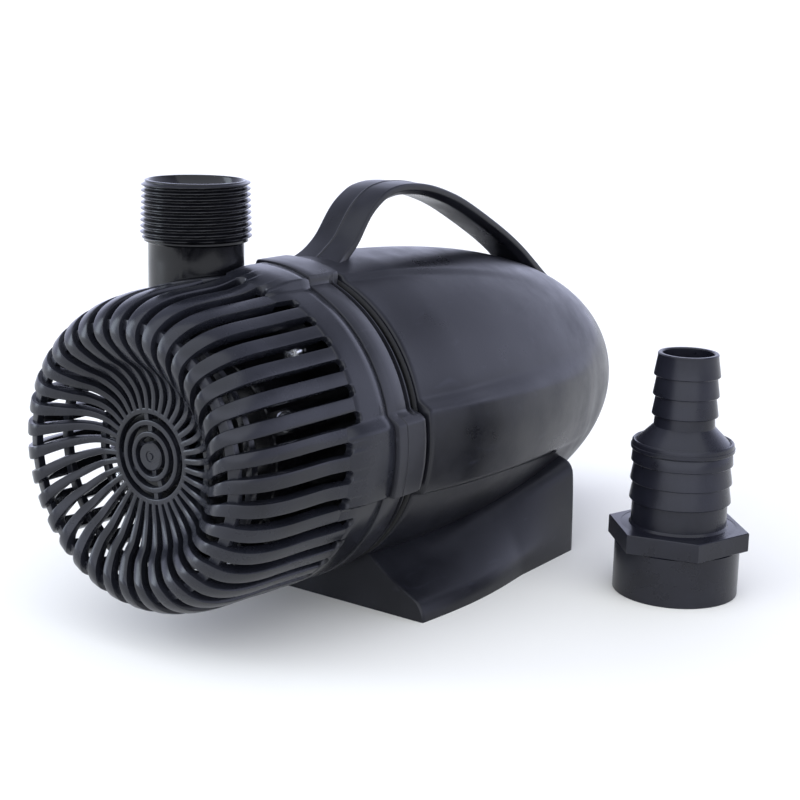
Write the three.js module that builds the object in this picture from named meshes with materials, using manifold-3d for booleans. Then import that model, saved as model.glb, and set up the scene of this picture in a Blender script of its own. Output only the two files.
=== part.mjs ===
// Fountain submersible pump with its hose adapter, in millimetres, +Z up.
//
// The pump lies on its foot with its motor axis along Y: the strainer cage points to -Y and the domed casing
// to +Y. Inside pumpGroup, y is measured from the casing's front edge and z from the motor axis. The origin
// of the whole part is on the underside of the foot, on the centre plane.

import * as THREE from 'three';
import { mergeVertices } from 'three/addons/utils/BufferGeometryUtils.js';
import Module from 'manifold-3d';

const wasm = await Module();
wasm.setup();

// ---------- driving dimensions ----------

const AXIS_HEIGHT = 71.7;
const ORIGIN_Y = 60;
const GAP = 0.3;
const HOLE_REACH = 45;

const CAGE = {
  rear: -20, radius: 61.8, wall: 2.6, hubRadius: 17.8, hubFace: -82.2, hubDepth: 3,
  bandFront: -35, padFront: -42.5, padRadius: 64.6, collarInner: 57.6,
};
const RIB = { count: 36, first: 4.5, depth: 4.6, hubWidth: 2.1, sideWidth: 5.3 };
const HOOK = { angles: [40, 140, 220, 320], inner: 54.6, outer: 56.6, halfAngle: 5, front: -26, rear: -8 };
const RING = {
  front: -19.7, rear: -2.6, radius: 61.8, wall: 4.6, flangeFront: -16.4, flangeRear: -12.4,
  screwCircle: 55.2, screwAngles: [22, 158, 202, 338], screwHole: 2.4, counterbore: 4.5,
};
const BLOCK = { radius: 66.2, top: 9.4, bottom: -15, slope: 5 };
const TOP_BLOCK = { radius: 65, right: 69.5, left: 94.5 };
const CASING = {
  radius: 63, width: 67.5, rear: 204.5, straight: 38, drop: 6.6, exponent: 2.5, wall: 3,
  bulgeTop: 12.5, bulgeBottom: -19.7, padRadius: 65.2, padHalfFront: 22, padHalfRear: 33, padRear: 126,
};
const FOOT = { front: 0, rear: 117, halfFront: 64.3, halfRear: 61.5, topFront: 21.4, topRear: 43.5 };
const HANDLE = { width: 21, thickness: 4.8 };
const OUTLET = {
  x: -19.8, y: -36.5, pipe: 18.15, bore: 15.3, top: 95.2, mouthBore: 17.4, mouthDepth: 30,
  threads: 10, pitch: 2.209, threadRadius: 20.45, threadDepth: 1.5, taper: 1 / 32,
  cageCut: 19.3, collarHalf: 22.4,
};
const VOLUTE = { front: -53.5, rear: -20, wall: 2.8, start: 36, end: 44, tongue: 80, sweep: 260, top: 38 };
const COVER = {
  front: -56.8, rear: -53.8, eye: 15.5, collar: 5, screwCircle: 46, screwAngles: [20, -72, -152, 160],
  earRadius: 4.6, earDepth: 14,
};
const IMPELLER = { radius: 28, front: -51, back: -28.5, shroud: 2.5, hub: 7, blades: 7, blade: 2.2 };
const SHAFT = { radius: 3, front: -47, rear: 74 };
const WELL = { inner: 19.5, outer: 21.2, front: -19.7, flange: 3, flangeRadius: 40, rear: 78 };
const ROTOR = { radius: 18.6, front: -8, rear: 58 };
const CORE = { inner: 21.5, outer: 44, front: 2, rear: 60, slots: 12, slotWidth: 5.4, slotTop: 36.4 };
const WINDING = { inner: 24.5, outer: 36, overhang: 8, bar: 4.4 };
const CAN = { inner: 46.8, outer: 48.8, front: -12.1, rear: 86, flange: 55, flangeThick: 3 };
const MOTOR_POST = { circle: 49.5, angles: [48, 185, 228, 312], radius: 5, hole: 2.4, front: -41 };
const SCREW = { shank: 2, head: 4, headHeight: 2.6 };
const GLAND = {
  x: -30, z: -10, boss: 10.5, bossRear: 204, body: 6.5, bodyFront: 188, thread: 9, bore: 4.2, nut: 9.2, rear: 217,
};
const ADAPTER = {
  x: 120.2, y: 100.6, height: 99.6, socket: 25.5, hexBottom: 20.2, hexTop: 28, hexCorner: 28.8, hexTurn: 11.6,
  bigBarb: 20.6, smallBarb: 13.4, barbStep: 1.3, socketBore: 21.3, socketDepth: 18,
  bigBore: 16.4, smallBore: 10.4,
};

// ---------- solids ----------

function toSolid(geometry) {
  const bare = geometry.clone();
  bare.deleteAttribute('normal');
  bare.deleteAttribute('uv');
  const merged = mergeVertices(bare, 1e-4);
  const mesh = new wasm.Mesh({
    numProp: 3,
    vertProperties: new Float32Array(merged.attributes.position.array),
    triVerts: new Uint32Array(merged.index.array),
  });
  return new wasm.Manifold(mesh);
}

function toGeometry(solid) {
  const mesh = solid.getMesh();
  const geometry = new THREE.BufferGeometry();
  geometry.setAttribute('position', new THREE.BufferAttribute(mesh.vertProperties, 3));
  geometry.setIndex(new THREE.BufferAttribute(mesh.triVerts, 1));
  geometry.computeVertexNormals();
  return geometry;
}

function union(solids) {
  return solids.reduce((whole, solid) => whole.add(solid));
}

function radians(degrees) {
  return THREE.MathUtils.degToRad(degrees);
}

// A solid of revolution about the motor axis (Y). Profile points are [radius, y].
function turned(profile, segments = 24) {
  const points = profile.map(([r, y]) => new THREE.Vector2(r, y));
  return toSolid(new THREE.LatheGeometry(points, segments));
}

function sleeve(inner, outer, front, rear, segments = 24) {
  return turned([[inner, front], [outer, front], [outer, rear], [inner, rear], [inner, front]], segments);
}

function disc(radius, front, rear, segments = 24) {
  return turned([[0, front], [radius, front], [radius, rear], [0, rear]], segments);
}

// The same, about a vertical axis through (x, y). Profile points are [radius, z].
function turnedUpright(profile, x, y, segments = 24) {
  const points = profile.map(([r, z]) => new THREE.Vector2(r, z));
  const geometry = new THREE.LatheGeometry(points, segments);
  geometry.rotateX(Math.PI / 2);
  geometry.translate(x, y, 0);
  return toSolid(geometry);
}

function cylinderAlongY(radius, x, z, front, rear, segments = 12) {
  const geometry = new THREE.CylinderGeometry(radius, radius, rear - front, segments);
  geometry.translate(x, (front + rear) / 2, z);
  return toSolid(geometry);
}

function box(low, high) {
  const geometry = new THREE.BoxGeometry(high[0] - low[0], high[1] - low[1], high[2] - low[2]);
  geometry.translate((low[0] + high[0]) / 2, (low[1] + high[1]) / 2, (low[2] + high[2]) / 2);
  return toSolid(geometry);
}

// An outline of [x, z] points pushed along Y from front to rear.
function prismAlongY(outline, front, rear) {
  const shape = new THREE.Shape(outline.map(([x, z]) => new THREE.Vector2(x, z)));
  const geometry = new THREE.ExtrudeGeometry(shape, { depth: rear - front, bevelEnabled: false, steps: 1 });
  geometry.rotateX(Math.PI / 2);
  geometry.translate(0, rear, 0);
  return toSolid(geometry);
}

// An outline of [x, y] points pushed up from bottom to top.
function prismUpright(outline, bottom, top) {
  const shape = new THREE.Shape(outline.map(([x, y]) => new THREE.Vector2(x, y)));
  const geometry = new THREE.ExtrudeGeometry(shape, { depth: top - bottom, bevelEnabled: false, steps: 1 });
  geometry.translate(0, 0, bottom);
  return toSolid(geometry);
}

// A piece of a ring about the motor axis, between two angles in degrees from +X towards +Z.
function arcBlock(inner, outer, from, to, front, rear) {
  const steps = Math.max(2, Math.round((to - from) / 6));
  const at = (radius, degrees) => [radius * Math.cos(radians(degrees)), radius * Math.sin(radians(degrees))];
  const outline = [];
  for (let i = 0; i <= steps; i += 1) outline.push(at(outer, from + ((to - from) * i) / steps));
  for (let i = steps; i >= 0; i -= 1) outline.push(at(inner, from + ((to - from) * i) / steps));
  return prismAlongY(outline, front, rear);
}

// The two raised blocks on the sides of the cage and of the ring, with a sloped upper edge.
function sideBlocks(inner, outer, front, rear) {
  const slopeOuter = (inner + outer) / 2 + 1;
  const slopeTop = BLOCK.top + BLOCK.slope;
  const right = arcBlock(inner, outer, BLOCK.bottom, BLOCK.top, front, rear)
    .add(arcBlock(inner, slopeOuter, BLOCK.top, slopeTop, front, rear));
  const left = arcBlock(inner, outer, 180 - BLOCK.top, 180 - BLOCK.bottom, front, rear)
    .add(arcBlock(inner, slopeOuter, 180 - slopeTop, 180 - BLOCK.top, front, rear));
  return right.add(left);
}

// ---------- strainer cage ----------

// Outer face of the cage from the hub to the rear band, as [radius, y]: a dished front, a round shoulder
// and a straight side.
function cageProfile() {
  const points = [[17, -82.2], [25, -82.8], [32, -86.5], [38, -92.2], [45, -95.8], [52, -93.5],
    [57, -86.5], [59.8, -75], [60.4, -56], [61.2, -33]];
  return new THREE.SplineCurve(points.map(([r, y]) => new THREE.Vector2(r, y)));
}

// One rib: a bar whose outer face follows the profile while it sweeps round from the hub to the shoulder.
// The ribs under the cage sweep a little further round than those over it.
function cageRib(index, profile) {
  const steps = 6;
  const bar = new THREE.BoxGeometry(1, 1, 1, 1, 1, steps);
  const position = bar.attributes.position;
  const start = RIB.first + (360 / RIB.count) * index;
  const sweep = 13.5 + 2 * Math.cos(radians(start)) - 3.3 * Math.sin(radians(start));
  for (let i = 0; i < position.count; i += 1) {
    const along = position.getZ(i) + 0.5;
    const outer = profile.getPoint(along);
    const tangent = profile.getTangent(along);
    const depth = (0.5 - position.getY(i)) * RIB.depth;
    const radius = outer.x + tangent.y * -depth;
    const y = outer.y + tangent.x * depth;
    const widening = THREE.MathUtils.smoothstep(outer.x, 20, 58);
    const width = THREE.MathUtils.lerp(RIB.hubWidth, RIB.sideWidth, widening);
    const turn = radians(start + sweep * THREE.MathUtils.smoothstep(outer.x, 20, 52));
    const across = position.getX(i) * width;
    position.setXYZ(
      i,
      radius * Math.cos(turn) - across * Math.sin(turn),
      y,
      radius * Math.sin(turn) + across * Math.cos(turn),
    );
  }
  return toSolid(bar);
}

function outletCut(halfWidth) {
  const outline = [[OUTLET.x + halfWidth, CAGE.rear + 10], [OUTLET.x + halfWidth, OUTLET.y]];
  for (let a = -15; a > -180; a -= 15) {
    outline.push([OUTLET.x + halfWidth * Math.cos(radians(a)), OUTLET.y + halfWidth * Math.sin(radians(a))]);
  }
  outline.push([OUTLET.x - halfWidth, OUTLET.y], [OUTLET.x - halfWidth, CAGE.rear + 10]);
  return prismUpright(outline, 30, 75);
}

function cageHub() {
  const face = CAGE.hubFace;
  const back = face + CAGE.hubDepth;
  const rings = [
    disc(5.4, face, back, 16),
    sleeve(7.2, 9.3, face, back, 16),
    sleeve(11.4, 13.5, face, back, 24),
    sleeve(15.8, CAGE.hubRadius, face, back, 24),
  ];
  const spokes = [0, 1, 2, 3].map((i) => {
    const spoke = new THREE.BoxGeometry(13, 2, 2);
    spoke.translate(10.5, face + 1.8, 0);
    spoke.rotateY(radians(20 + 90 * i));
    return toSolid(spoke);
  });
  return union([...rings, ...spokes]);
}

// Four hooks behind the rear edge that snap inside the mounting ring, each hung from the band by a bridge.
function snapHooks() {
  const hooks = HOOK.angles.map((angle) => {
    const from = angle - HOOK.halfAngle;
    const to = angle + HOOK.halfAngle;
    const tongue = arcBlock(HOOK.inner, HOOK.outer, from, to, HOOK.front, HOOK.rear);
    const bridge = arcBlock(HOOK.inner, CAGE.radius - 1, from, to, HOOK.front, HOOK.front + 3.5);
    return tongue.add(bridge);
  });
  return union(hooks);
}

function strainerCage() {
  const profile = cageProfile();
  const ribs = [];
  for (let i = 0; i < RIB.count; i += 1) ribs.push(cageRib(i, profile));
  const band = sleeve(CAGE.radius - CAGE.wall, CAGE.radius, CAGE.bandFront, CAGE.rear, 40);
  const pads = sideBlocks(CAGE.radius - CAGE.wall, CAGE.padRadius, CAGE.padFront, CAGE.rear);
  const collar = sleeve(CAGE.collarInner, CAGE.radius, -60, CAGE.rear, 40)
    .intersect(outletCut(OUTLET.collarHalf));
  const topPad = arcBlock(CAGE.radius - CAGE.wall + GAP, TOP_BLOCK.radius, TOP_BLOCK.right + 1, TOP_BLOCK.left - 0.5,
    -30, CAGE.rear);
  return union([...ribs, band, pads, cageHub(), collar, topPad, snapHooks()])
    .subtract(outletCut(OUTLET.cageCut));
}

// ---------- mounting ring and seal ----------

function mountingRing() {
  const band = sleeve(RING.radius - RING.wall, RING.radius, RING.front, RING.rear, 40);
  const flange = sleeve(WELL.outer + GAP, RING.radius - 1, RING.flangeFront, RING.flangeRear);
  const sides = sideBlocks(RING.radius - RING.wall, BLOCK.radius, RING.front, RING.rear);
  const top = arcBlock(RING.radius - RING.wall, TOP_BLOCK.radius, TOP_BLOCK.right, TOP_BLOCK.left,
    RING.front, RING.rear);
  const pipe = turnedUpright([[0, 20], [OUTLET.pipe + 0.6, 20], [OUTLET.pipe + 0.6, 80], [0, 80]],
    OUTLET.x, OUTLET.y, 24);
  const holes = RING.screwAngles.map((angle) => screwHole(RING.screwCircle, angle, RING.screwHole)
    .add(screwHole(RING.screwCircle, angle, RING.counterbore).translate([0, RING.flangeFront - HOLE_REACH, 0])));
  const windows = HOOK.angles.map((angle) => arcBlock(HOOK.inner - 0.4, HOOK.outer + 0.8,
    angle - HOOK.halfAngle - 1, angle + HOOK.halfAngle + 1, RING.flangeFront - 0.6, RING.flangeRear + 0.4));
  return union([band, flange, sides, top]).subtract(union([pipe, ...holes, ...windows, ...motorHoles()]));
}

function casingSeal() {
  return sleeve(57.6, 61.2, RING.rear + GAP, -GAP, 40);
}

// A hole along Y on a screw circle, reaching as far in front of the casing's edge as behind it.
function screwHole(circle, angle, hole) {
  const x = circle * Math.cos(radians(angle));
  const z = circle * Math.sin(radians(angle));
  return cylinderAlongY(hole, x, z, -HOLE_REACH, HOLE_REACH, 8);
}

function motorHoles() {
  return MOTOR_POST.angles.map((angle) => screwHole(MOTOR_POST.circle, angle, MOTOR_POST.hole));
}

// ---------- rear casing with handle and foot ----------

// Half-size of the dome's section at y: straight at the front, then rounding to nothing at the rear.
function domeSize(size, y, rear) {
  const t = Math.max(0, (y - CASING.straight) / (rear - CASING.straight));
  return size * (1 - Math.min(1, t) ** CASING.exponent) ** (1 / CASING.exponent);
}

function dome(halfWidth, halfHeight, front, rear) {
  const stations = [front, 12, CASING.straight];
  for (let a = 15; a < 90; a += 15) {
    stations.push(CASING.straight + (rear - CASING.straight) * Math.sin(radians(a)));
  }
  const profile = [new THREE.Vector2(0, front)];
  stations.forEach((y) => profile.push(new THREE.Vector2(1, y)));
  profile.push(new THREE.Vector2(0, rear));
  const geometry = new THREE.LatheGeometry(profile, 36);
  const position = geometry.attributes.position;
  for (let i = 0; i < position.count; i += 1) {
    const y = position.getY(i);
    const swell = THREE.MathUtils.lerp(RING.radius / CASING.radius, 1, THREE.MathUtils.smoothstep(y, 0, 33));
    position.setXYZ(
      i,
      position.getX(i) * swell * domeSize(halfWidth, y, rear),
      y,
      position.getZ(i) * swell * domeSize(halfHeight, y, rear) - (CASING.drop * Math.max(0, y)) / CASING.rear,
    );
  }
  return toSolid(geometry);
}

// The foot is a loft along Y: a sloped skirt at the front that turns into an upright wall at the rear.
function foot() {
  const base = -AXIS_HEIGHT;
  const frontEdge = [[FOOT.halfFront, 0], [63.8, 3.4], [61, 7.4], [39, FOOT.topFront]];
  const rearEdge = [[FOOT.halfRear, 0], [61.3, 20], [60.6, 38], [50, FOOT.topRear]];
  const steps = 6;
  const loft = new THREE.BoxGeometry(1, 1, 1, 1, steps, 3);
  const position = loft.attributes.position;
  for (let i = 0; i < position.count; i += 1) {
    const along = position.getY(i) + 0.5;
    const level = Math.round((position.getZ(i) + 0.5) * 3);
    const blend = along ** 1.5;
    const half = THREE.MathUtils.lerp(frontEdge[level][0], rearEdge[level][0], blend);
    const swell = level < 2 ? 3 * Math.sin(Math.PI * Math.min(1, along * 1.6)) : 0;
    position.setXYZ(
      i,
      Math.sign(position.getX(i)) * (half + Math.max(0, swell)),
      THREE.MathUtils.lerp(FOOT.front, FOOT.rear, along),
      base + THREE.MathUtils.lerp(frontEdge[level][1], rearEdge[level][1], blend),
    );
  }
  return toSolid(loft);
}

// Side view of the handle's upper edge as [y, height above the floor], from the front end to the rear end.
function handle() {
  const upper = [[8, 133], [13.6, 136], [23, 141.6], [32, 152.4], [42, 159], [58, 161.6], [72, 160.4],
    [86, 156.8], [102, 151], [127, 139], [145, 129], [167, 114]];
  const curve = new THREE.SplineCurve(upper.map(([y, z]) => new THREE.Vector2(y, z - AXIS_HEIGHT)));
  const steps = 20;
  const outside = [];
  const inside = [];
  for (let i = 0; i <= steps; i += 1) {
    const point = curve.getPoint(i / steps);
    const tangent = curve.getTangent(i / steps);
    outside.push(point);
    const inward = new THREE.Vector2(tangent.y, -tangent.x).multiplyScalar(HANDLE.thickness);
    inside.unshift(point.clone().add(inward));
  }
  const shape = new THREE.Shape([...outside, ...inside]);
  const geometry = new THREE.ExtrudeGeometry(shape, { depth: HANDLE.width, bevelEnabled: false, steps: 1 });
  const basis = new THREE.Matrix4().makeBasis(
    new THREE.Vector3(0, 1, 0),
    new THREE.Vector3(0, 0, 1),
    new THREE.Vector3(1, 0, 0),
  );
  geometry.applyMatrix4(basis);
  geometry.translate(-HANDLE.width / 2, 0, 0);
  return toSolid(geometry);
}

function rearCasing() {
  const shell = dome(CASING.radius, CASING.radius, 0, CASING.rear);
  const bulgeSlab = box([-80, 0, CASING.bulgeBottom], [80, CASING.rear + 5, CASING.bulgeTop]);
  const bulge = dome(CASING.width, CASING.radius, 0, CASING.rear).intersect(bulgeSlab);
  const padWedge = prismUpright([[-CASING.padHalfFront, 0], [CASING.padHalfFront, 0],
    [CASING.padHalfRear, CASING.padRear], [-CASING.padHalfRear, CASING.padRear]], 20, 75);
  const topPad = dome(CASING.padRadius, CASING.padRadius, 0, CASING.rear - 4).intersect(padWedge);
  const boss = cylinderAlongY(GLAND.boss, GLAND.x, GLAND.z, 170, GLAND.bossRear, 24);
  const hollow = dome(CASING.radius - CASING.wall, CASING.radius - CASING.wall, -1, CASING.rear - CASING.wall);
  const screwPosts = RING.screwAngles.map((angle) => {
    const x = RING.screwCircle * Math.cos(radians(angle));
    const z = RING.screwCircle * Math.sin(radians(angle));
    return cylinderAlongY(4.8, x, z, 0, 16, 12).intersect(disc(62, 0, 16));
  });
  const pilotHoles = RING.screwAngles.map((angle) => screwHole(RING.screwCircle, angle, 2.3)
    .intersect(disc(62, -1, 12)));
  return union([shell, bulge, topPad, foot(), handle(), boss])
    .subtract(hollow)
    .add(union(screwPosts))
    .subtract(union(pilotHoles))
    .subtract(cylinderAlongY(GLAND.body + GAP, GLAND.x, GLAND.z, 150, 230, 16));
}

// ---------- cable gland ----------

function hexPrism(corner, x, z, front, rear) {
  return cylinderAlongY(corner, x, z, front, rear, 6);
}

function glandBody() {
  return cylinderAlongY(GLAND.body, GLAND.x, GLAND.z, GLAND.bodyFront, GLAND.bossRear + GLAND.thread, 16)
    .subtract(cylinderAlongY(GLAND.bore, GLAND.x, GLAND.z, GLAND.bodyFront - 1, GLAND.rear, 12));
}

function glandNut() {
  const front = GLAND.bossRear + GAP;
  const threadEnd = GLAND.bossRear + GLAND.thread + GAP;
  return hexPrism(GLAND.nut, GLAND.x, GLAND.z, front, GLAND.rear)
    .subtract(cylinderAlongY(GLAND.body + GAP, GLAND.x, GLAND.z, front - 1, threadEnd, 16))
    .subtract(cylinderAlongY(GLAND.bore + 0.2, GLAND.x, GLAND.z, front - 1, GLAND.rear + 1, 12));
}

// ---------- volute, cover and impeller ----------

function voluteOutline(inset) {
  const outline = [];
  const steps = 18;
  for (let i = 0; i <= steps; i += 1) {
    const radius = THREE.MathUtils.lerp(VOLUTE.start, VOLUTE.end, i / steps) - inset;
    const angle = radians(VOLUTE.tongue - (VOLUTE.sweep * i) / steps);
    outline.push([radius * Math.cos(angle), radius * Math.sin(angle)]);
  }
  outline.push([OUTLET.x - OUTLET.pipe + inset, VOLUTE.top], [OUTLET.x + OUTLET.pipe - inset, VOLUTE.top]);
  return outline.reverse();
}

function outletPipe() {
  const bottom = OUTLET.top - OUTLET.threads * OUTLET.pitch;
  const profile = [[0, VOLUTE.top - 1], [OUTLET.pipe, VOLUTE.top - 1], [OUTLET.pipe, bottom - 0.6]];
  for (let i = 0; i < OUTLET.threads; i += 1) {
    const z = bottom + i * OUTLET.pitch;
    const crest = OUTLET.threadRadius + (OUTLET.top - z) * OUTLET.taper;
    profile.push([crest - OUTLET.threadDepth, z], [crest, z + OUTLET.pitch / 2]);
  }
  profile.push([OUTLET.threadRadius - 1, OUTLET.top], [0, OUTLET.top]);
  return turnedUpright(profile, OUTLET.x, OUTLET.y, 24);
}

function outletBore() {
  const step = OUTLET.top - OUTLET.mouthDepth;
  return turnedUpright([[0, VOLUTE.top - 4], [OUTLET.bore, VOLUTE.top - 4], [OUTLET.bore, step],
    [OUTLET.mouthBore, OUTLET.top - 4], [OUTLET.mouthBore, OUTLET.top + 1], [0, OUTLET.top + 1]],
  OUTLET.x, OUTLET.y, 20);
}

// Ears round the volute that take the cover's screws, each on a web from the wall.
function ears(front, rear) {
  const posts = COVER.screwAngles.map((angle) => {
    const web = new THREE.BoxGeometry(COVER.screwCircle - 28, rear - front, 9);
    web.translate((COVER.screwCircle + 28) / 2, (front + rear) / 2, 0);
    web.rotateY(-radians(angle));
    const x = COVER.screwCircle * Math.cos(radians(angle));
    const z = COVER.screwCircle * Math.sin(radians(angle));
    return cylinderAlongY(COVER.earRadius, x, z, front, rear, 10).add(toSolid(web));
  });
  return union(posts);
}

function coverHoles() {
  return union(COVER.screwAngles.map((angle) => screwHole(COVER.screwCircle, angle, 2.4)
    .translate([0, -HOLE_REACH / 2, 0])));
}

function voluteCasing() {
  const chamber = prismAlongY(voluteOutline(0), VOLUTE.front, VOLUTE.rear);
  const inside = prismAlongY(voluteOutline(VOLUTE.wall), VOLUTE.front - 1, VOLUTE.rear - 3);
  const backHole = disc(22, VOLUTE.rear - 5, VOLUTE.rear + 1);
  const posts = ears(VOLUTE.front, VOLUTE.front + COVER.earDepth);
  const lugs = MOTOR_POST.angles.map((angle) => {
    const x = MOTOR_POST.circle * Math.cos(radians(angle));
    const z = MOTOR_POST.circle * Math.sin(radians(angle));
    return cylinderAlongY(MOTOR_POST.radius, x, z, MOTOR_POST.front, RING.flangeFront - GAP, 12);
  });
  const plate = sleeve(30, 49, -23, VOLUTE.rear);
  const skirt = sleeve(WELL.flangeRadius + GAP, 49, -20.5, RING.flangeFront - GAP);
  const innerLand = sleeve(22, 32, -23, VOLUTE.rear);
  const groove = sleeve(35, 38.8, VOLUTE.rear - 1.6, VOLUTE.rear + 1);
  const wellRoom = disc(WELL.flangeRadius + GAP, WELL.front - GAP, 0);
  return union([chamber, posts, plate, innerLand, ...lugs, skirt])
    .subtract(union([inside, backHole]))
    .add(outletPipe())
    .subtract(outletBore())
    .subtract(union([coverHoles(), groove, wellRoom, ...motorHoles()]));
}

function voluteSeal() {
  return sleeve(35.5, 38.3, VOLUTE.rear - 1.3, WELL.front - GAP);
}

function voluteCover() {
  const belowNeck = box([-60, -70, -60], [60, 0, VOLUTE.top - 2]);
  const plate = prismAlongY(voluteOutline(0), COVER.front, COVER.rear).intersect(belowNeck);
  const collar = sleeve(COVER.eye, COVER.eye + 2.5, COVER.front - COVER.collar, COVER.front + 1);
  return union([plate, ears(COVER.front, COVER.rear), collar])
    .subtract(union([coverHoles(), disc(COVER.eye, -70, -50)]));
}

function impellerBlade(index) {
  const start = radians((360 / IMPELLER.blades) * index);
  const lean = radians(55);
  const curve = (offset) => {
    const points = [];
    for (let i = 0; i <= 4; i += 1) {
      const radius = THREE.MathUtils.lerp(IMPELLER.hub - 1.5, IMPELLER.radius - 0.5, i / 6);
      const angle = start + lean * (i / 4) + offset / radius;
      points.push([radius * Math.cos(angle), radius * Math.sin(angle)]);
    }
    return points;
  };
  const outline = [...curve(-IMPELLER.blade / 2), ...curve(IMPELLER.blade / 2).reverse()];
  return prismAlongY(outline, IMPELLER.front, IMPELLER.back - 0.5);
}

function impeller() {
  const shroud = disc(IMPELLER.radius, IMPELLER.back - IMPELLER.shroud, IMPELLER.back, 32);
  const hub = turned([[0, IMPELLER.front - 1], [4.5, IMPELLER.front - 1], [IMPELLER.hub, IMPELLER.front + 5],
    [IMPELLER.hub, -22], [0, -22]], 16);
  const blades = [];
  for (let i = 0; i < IMPELLER.blades; i += 1) blades.push(impellerBlade(i));
  return union([shroud, hub, ...blades]).subtract(disc(SHAFT.radius + GAP, SHAFT.front - GAP, 0, 16));
}

// ---------- motor ----------

function rotorShaft() {
  const chamfer = 0.6;
  return turned([[0, SHAFT.front], [SHAFT.radius - chamfer, SHAFT.front], [SHAFT.radius, SHAFT.front + chamfer],
    [SHAFT.radius, SHAFT.rear - chamfer], [SHAFT.radius - chamfer, SHAFT.rear], [0, SHAFT.rear]], 16);
}

function rotorCore() {
  const bore = SHAFT.radius + GAP;
  return turned([[bore, ROTOR.front], [16.8, ROTOR.front], [16.8, ROTOR.front + 4], [ROTOR.radius, ROTOR.front + 4],
    [ROTOR.radius, ROTOR.rear - 4], [16.8, ROTOR.rear - 4], [16.8, ROTOR.rear], [bore, ROTOR.rear],
    [bore, ROTOR.front]]);
}

function rotorWell() {
  return turned([[WELL.inner, WELL.front], [WELL.flangeRadius, WELL.front],
    [WELL.flangeRadius, WELL.front + WELL.flange], [WELL.outer, WELL.front + WELL.flange],
    [WELL.outer, WELL.rear], [0, WELL.rear], [0, WELL.rear - 1.8], [WELL.inner, WELL.rear - 1.8],
    [WELL.inner, WELL.front]]);
}

function bearingBracket() {
  const plate = sleeve(6.3, WELL.inner - GAP, -19.4, -15.4);
  const ports = [0, 1, 2, 3].map((i) => {
    const angle = radians(45 + 90 * i);
    return cylinderAlongY(2.6, 12.6 * Math.cos(angle), 12.6 * Math.sin(angle), -25, -10, 8);
  });
  return plate.subtract(union(ports));
}

function statorCore() {
  const ring = sleeve(CORE.inner, CORE.outer, CORE.front, CORE.rear);
  const slots = [];
  for (let i = 0; i < CORE.slots; i += 1) {
    const slot = new THREE.BoxGeometry(CORE.slotTop - 20, CORE.rear - CORE.front + 2, CORE.slotWidth);
    slot.translate((CORE.slotTop + 20) / 2, (CORE.front + CORE.rear) / 2, 0);
    slot.rotateY(radians((360 / CORE.slots) * i + 15));
    slots.push(toSolid(slot));
  }
  return ring.subtract(union(slots));
}

function statorWinding() {
  const front = sleeve(WINDING.inner, WINDING.outer, CORE.front - GAP - WINDING.overhang, CORE.front - GAP);
  const rear = sleeve(WINDING.inner, WINDING.outer, CORE.rear + GAP, CORE.rear + GAP + WINDING.overhang);
  const bars = [];
  for (let i = 0; i < CORE.slots; i += 1) {
    const length = CORE.rear - CORE.front + 2;
    const bar = new THREE.BoxGeometry(WINDING.outer - WINDING.inner - 2, length, WINDING.bar);
    bar.translate((WINDING.outer + WINDING.inner) / 2, (CORE.front + CORE.rear) / 2, 0);
    bar.rotateY(radians((360 / CORE.slots) * i + 15));
    bars.push(toSolid(bar));
  }
  return union([front, rear, ...bars]);
}

// Resin poured round the core: a sleeve outside it, with a cap over each end of the winding.
function pottingResin() {
  const out = CAN.inner - GAP;
  const well = WELL.outer + GAP;
  const clear = WINDING.outer + GAP;
  const front = CORE.front - GAP;
  const rear = CORE.rear + GAP;
  const turns = WINDING.overhang + 2 * GAP;
  return turned([[0, WELL.rear + GAP], [well, WELL.rear + GAP], [well, rear + turns], [clear, rear + turns],
    [clear, rear], [CORE.outer + GAP, rear], [CORE.outer + GAP, front], [clear, front],
    [clear, front - turns], [well, front - turns], [well, CAN.front + GAP], [out, CAN.front + GAP],
    [out, CAN.rear - 3 - GAP], [0, CAN.rear - 3 - GAP]]);
}

function motorCan() {
  const can = turned([[CAN.inner, CAN.front], [CAN.outer, CAN.front], [CAN.outer, CAN.rear - 4],
    [CAN.outer - 4, CAN.rear], [0, CAN.rear], [0, CAN.rear - 3], [CAN.inner, CAN.rear - 3],
    [CAN.inner, CAN.front]]);
  const flange = sleeve(CAN.inner, CAN.flange, CAN.front, CAN.front + CAN.flangeThick);
  const room = [...RING.screwAngles, ...HOOK.angles].map((angle) => screwHole(CAN.flange + 1, angle, 5.6));
  return can.add(flange.subtract(union(room))).subtract(union(motorHoles()));
}

// ---------- screws ----------

// A pan-head screw along +Y, its head's underside at y = 0.
function screw(length) {
  const { shank, head, headHeight } = SCREW;
  return turned([[0, -headHeight], [head, 0.6 - headHeight], [head, 0], [shank, 0], [shank, length], [0, length]], 10)
    .subtract(box([-head / 2, -headHeight - 0.4, -0.5], [head / 2, 1.2 - headHeight, 0.5]));
}

// ---------- hose adapter ----------

function barbs(profile, radius, root, low, high, count) {
  const step = (high - low) / count;
  for (let i = 0; i < count; i += 1) {
    profile.push([root, low + i * step], [radius, low + i * step], [root, low + (i + 1) * step]);
  }
}

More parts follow.
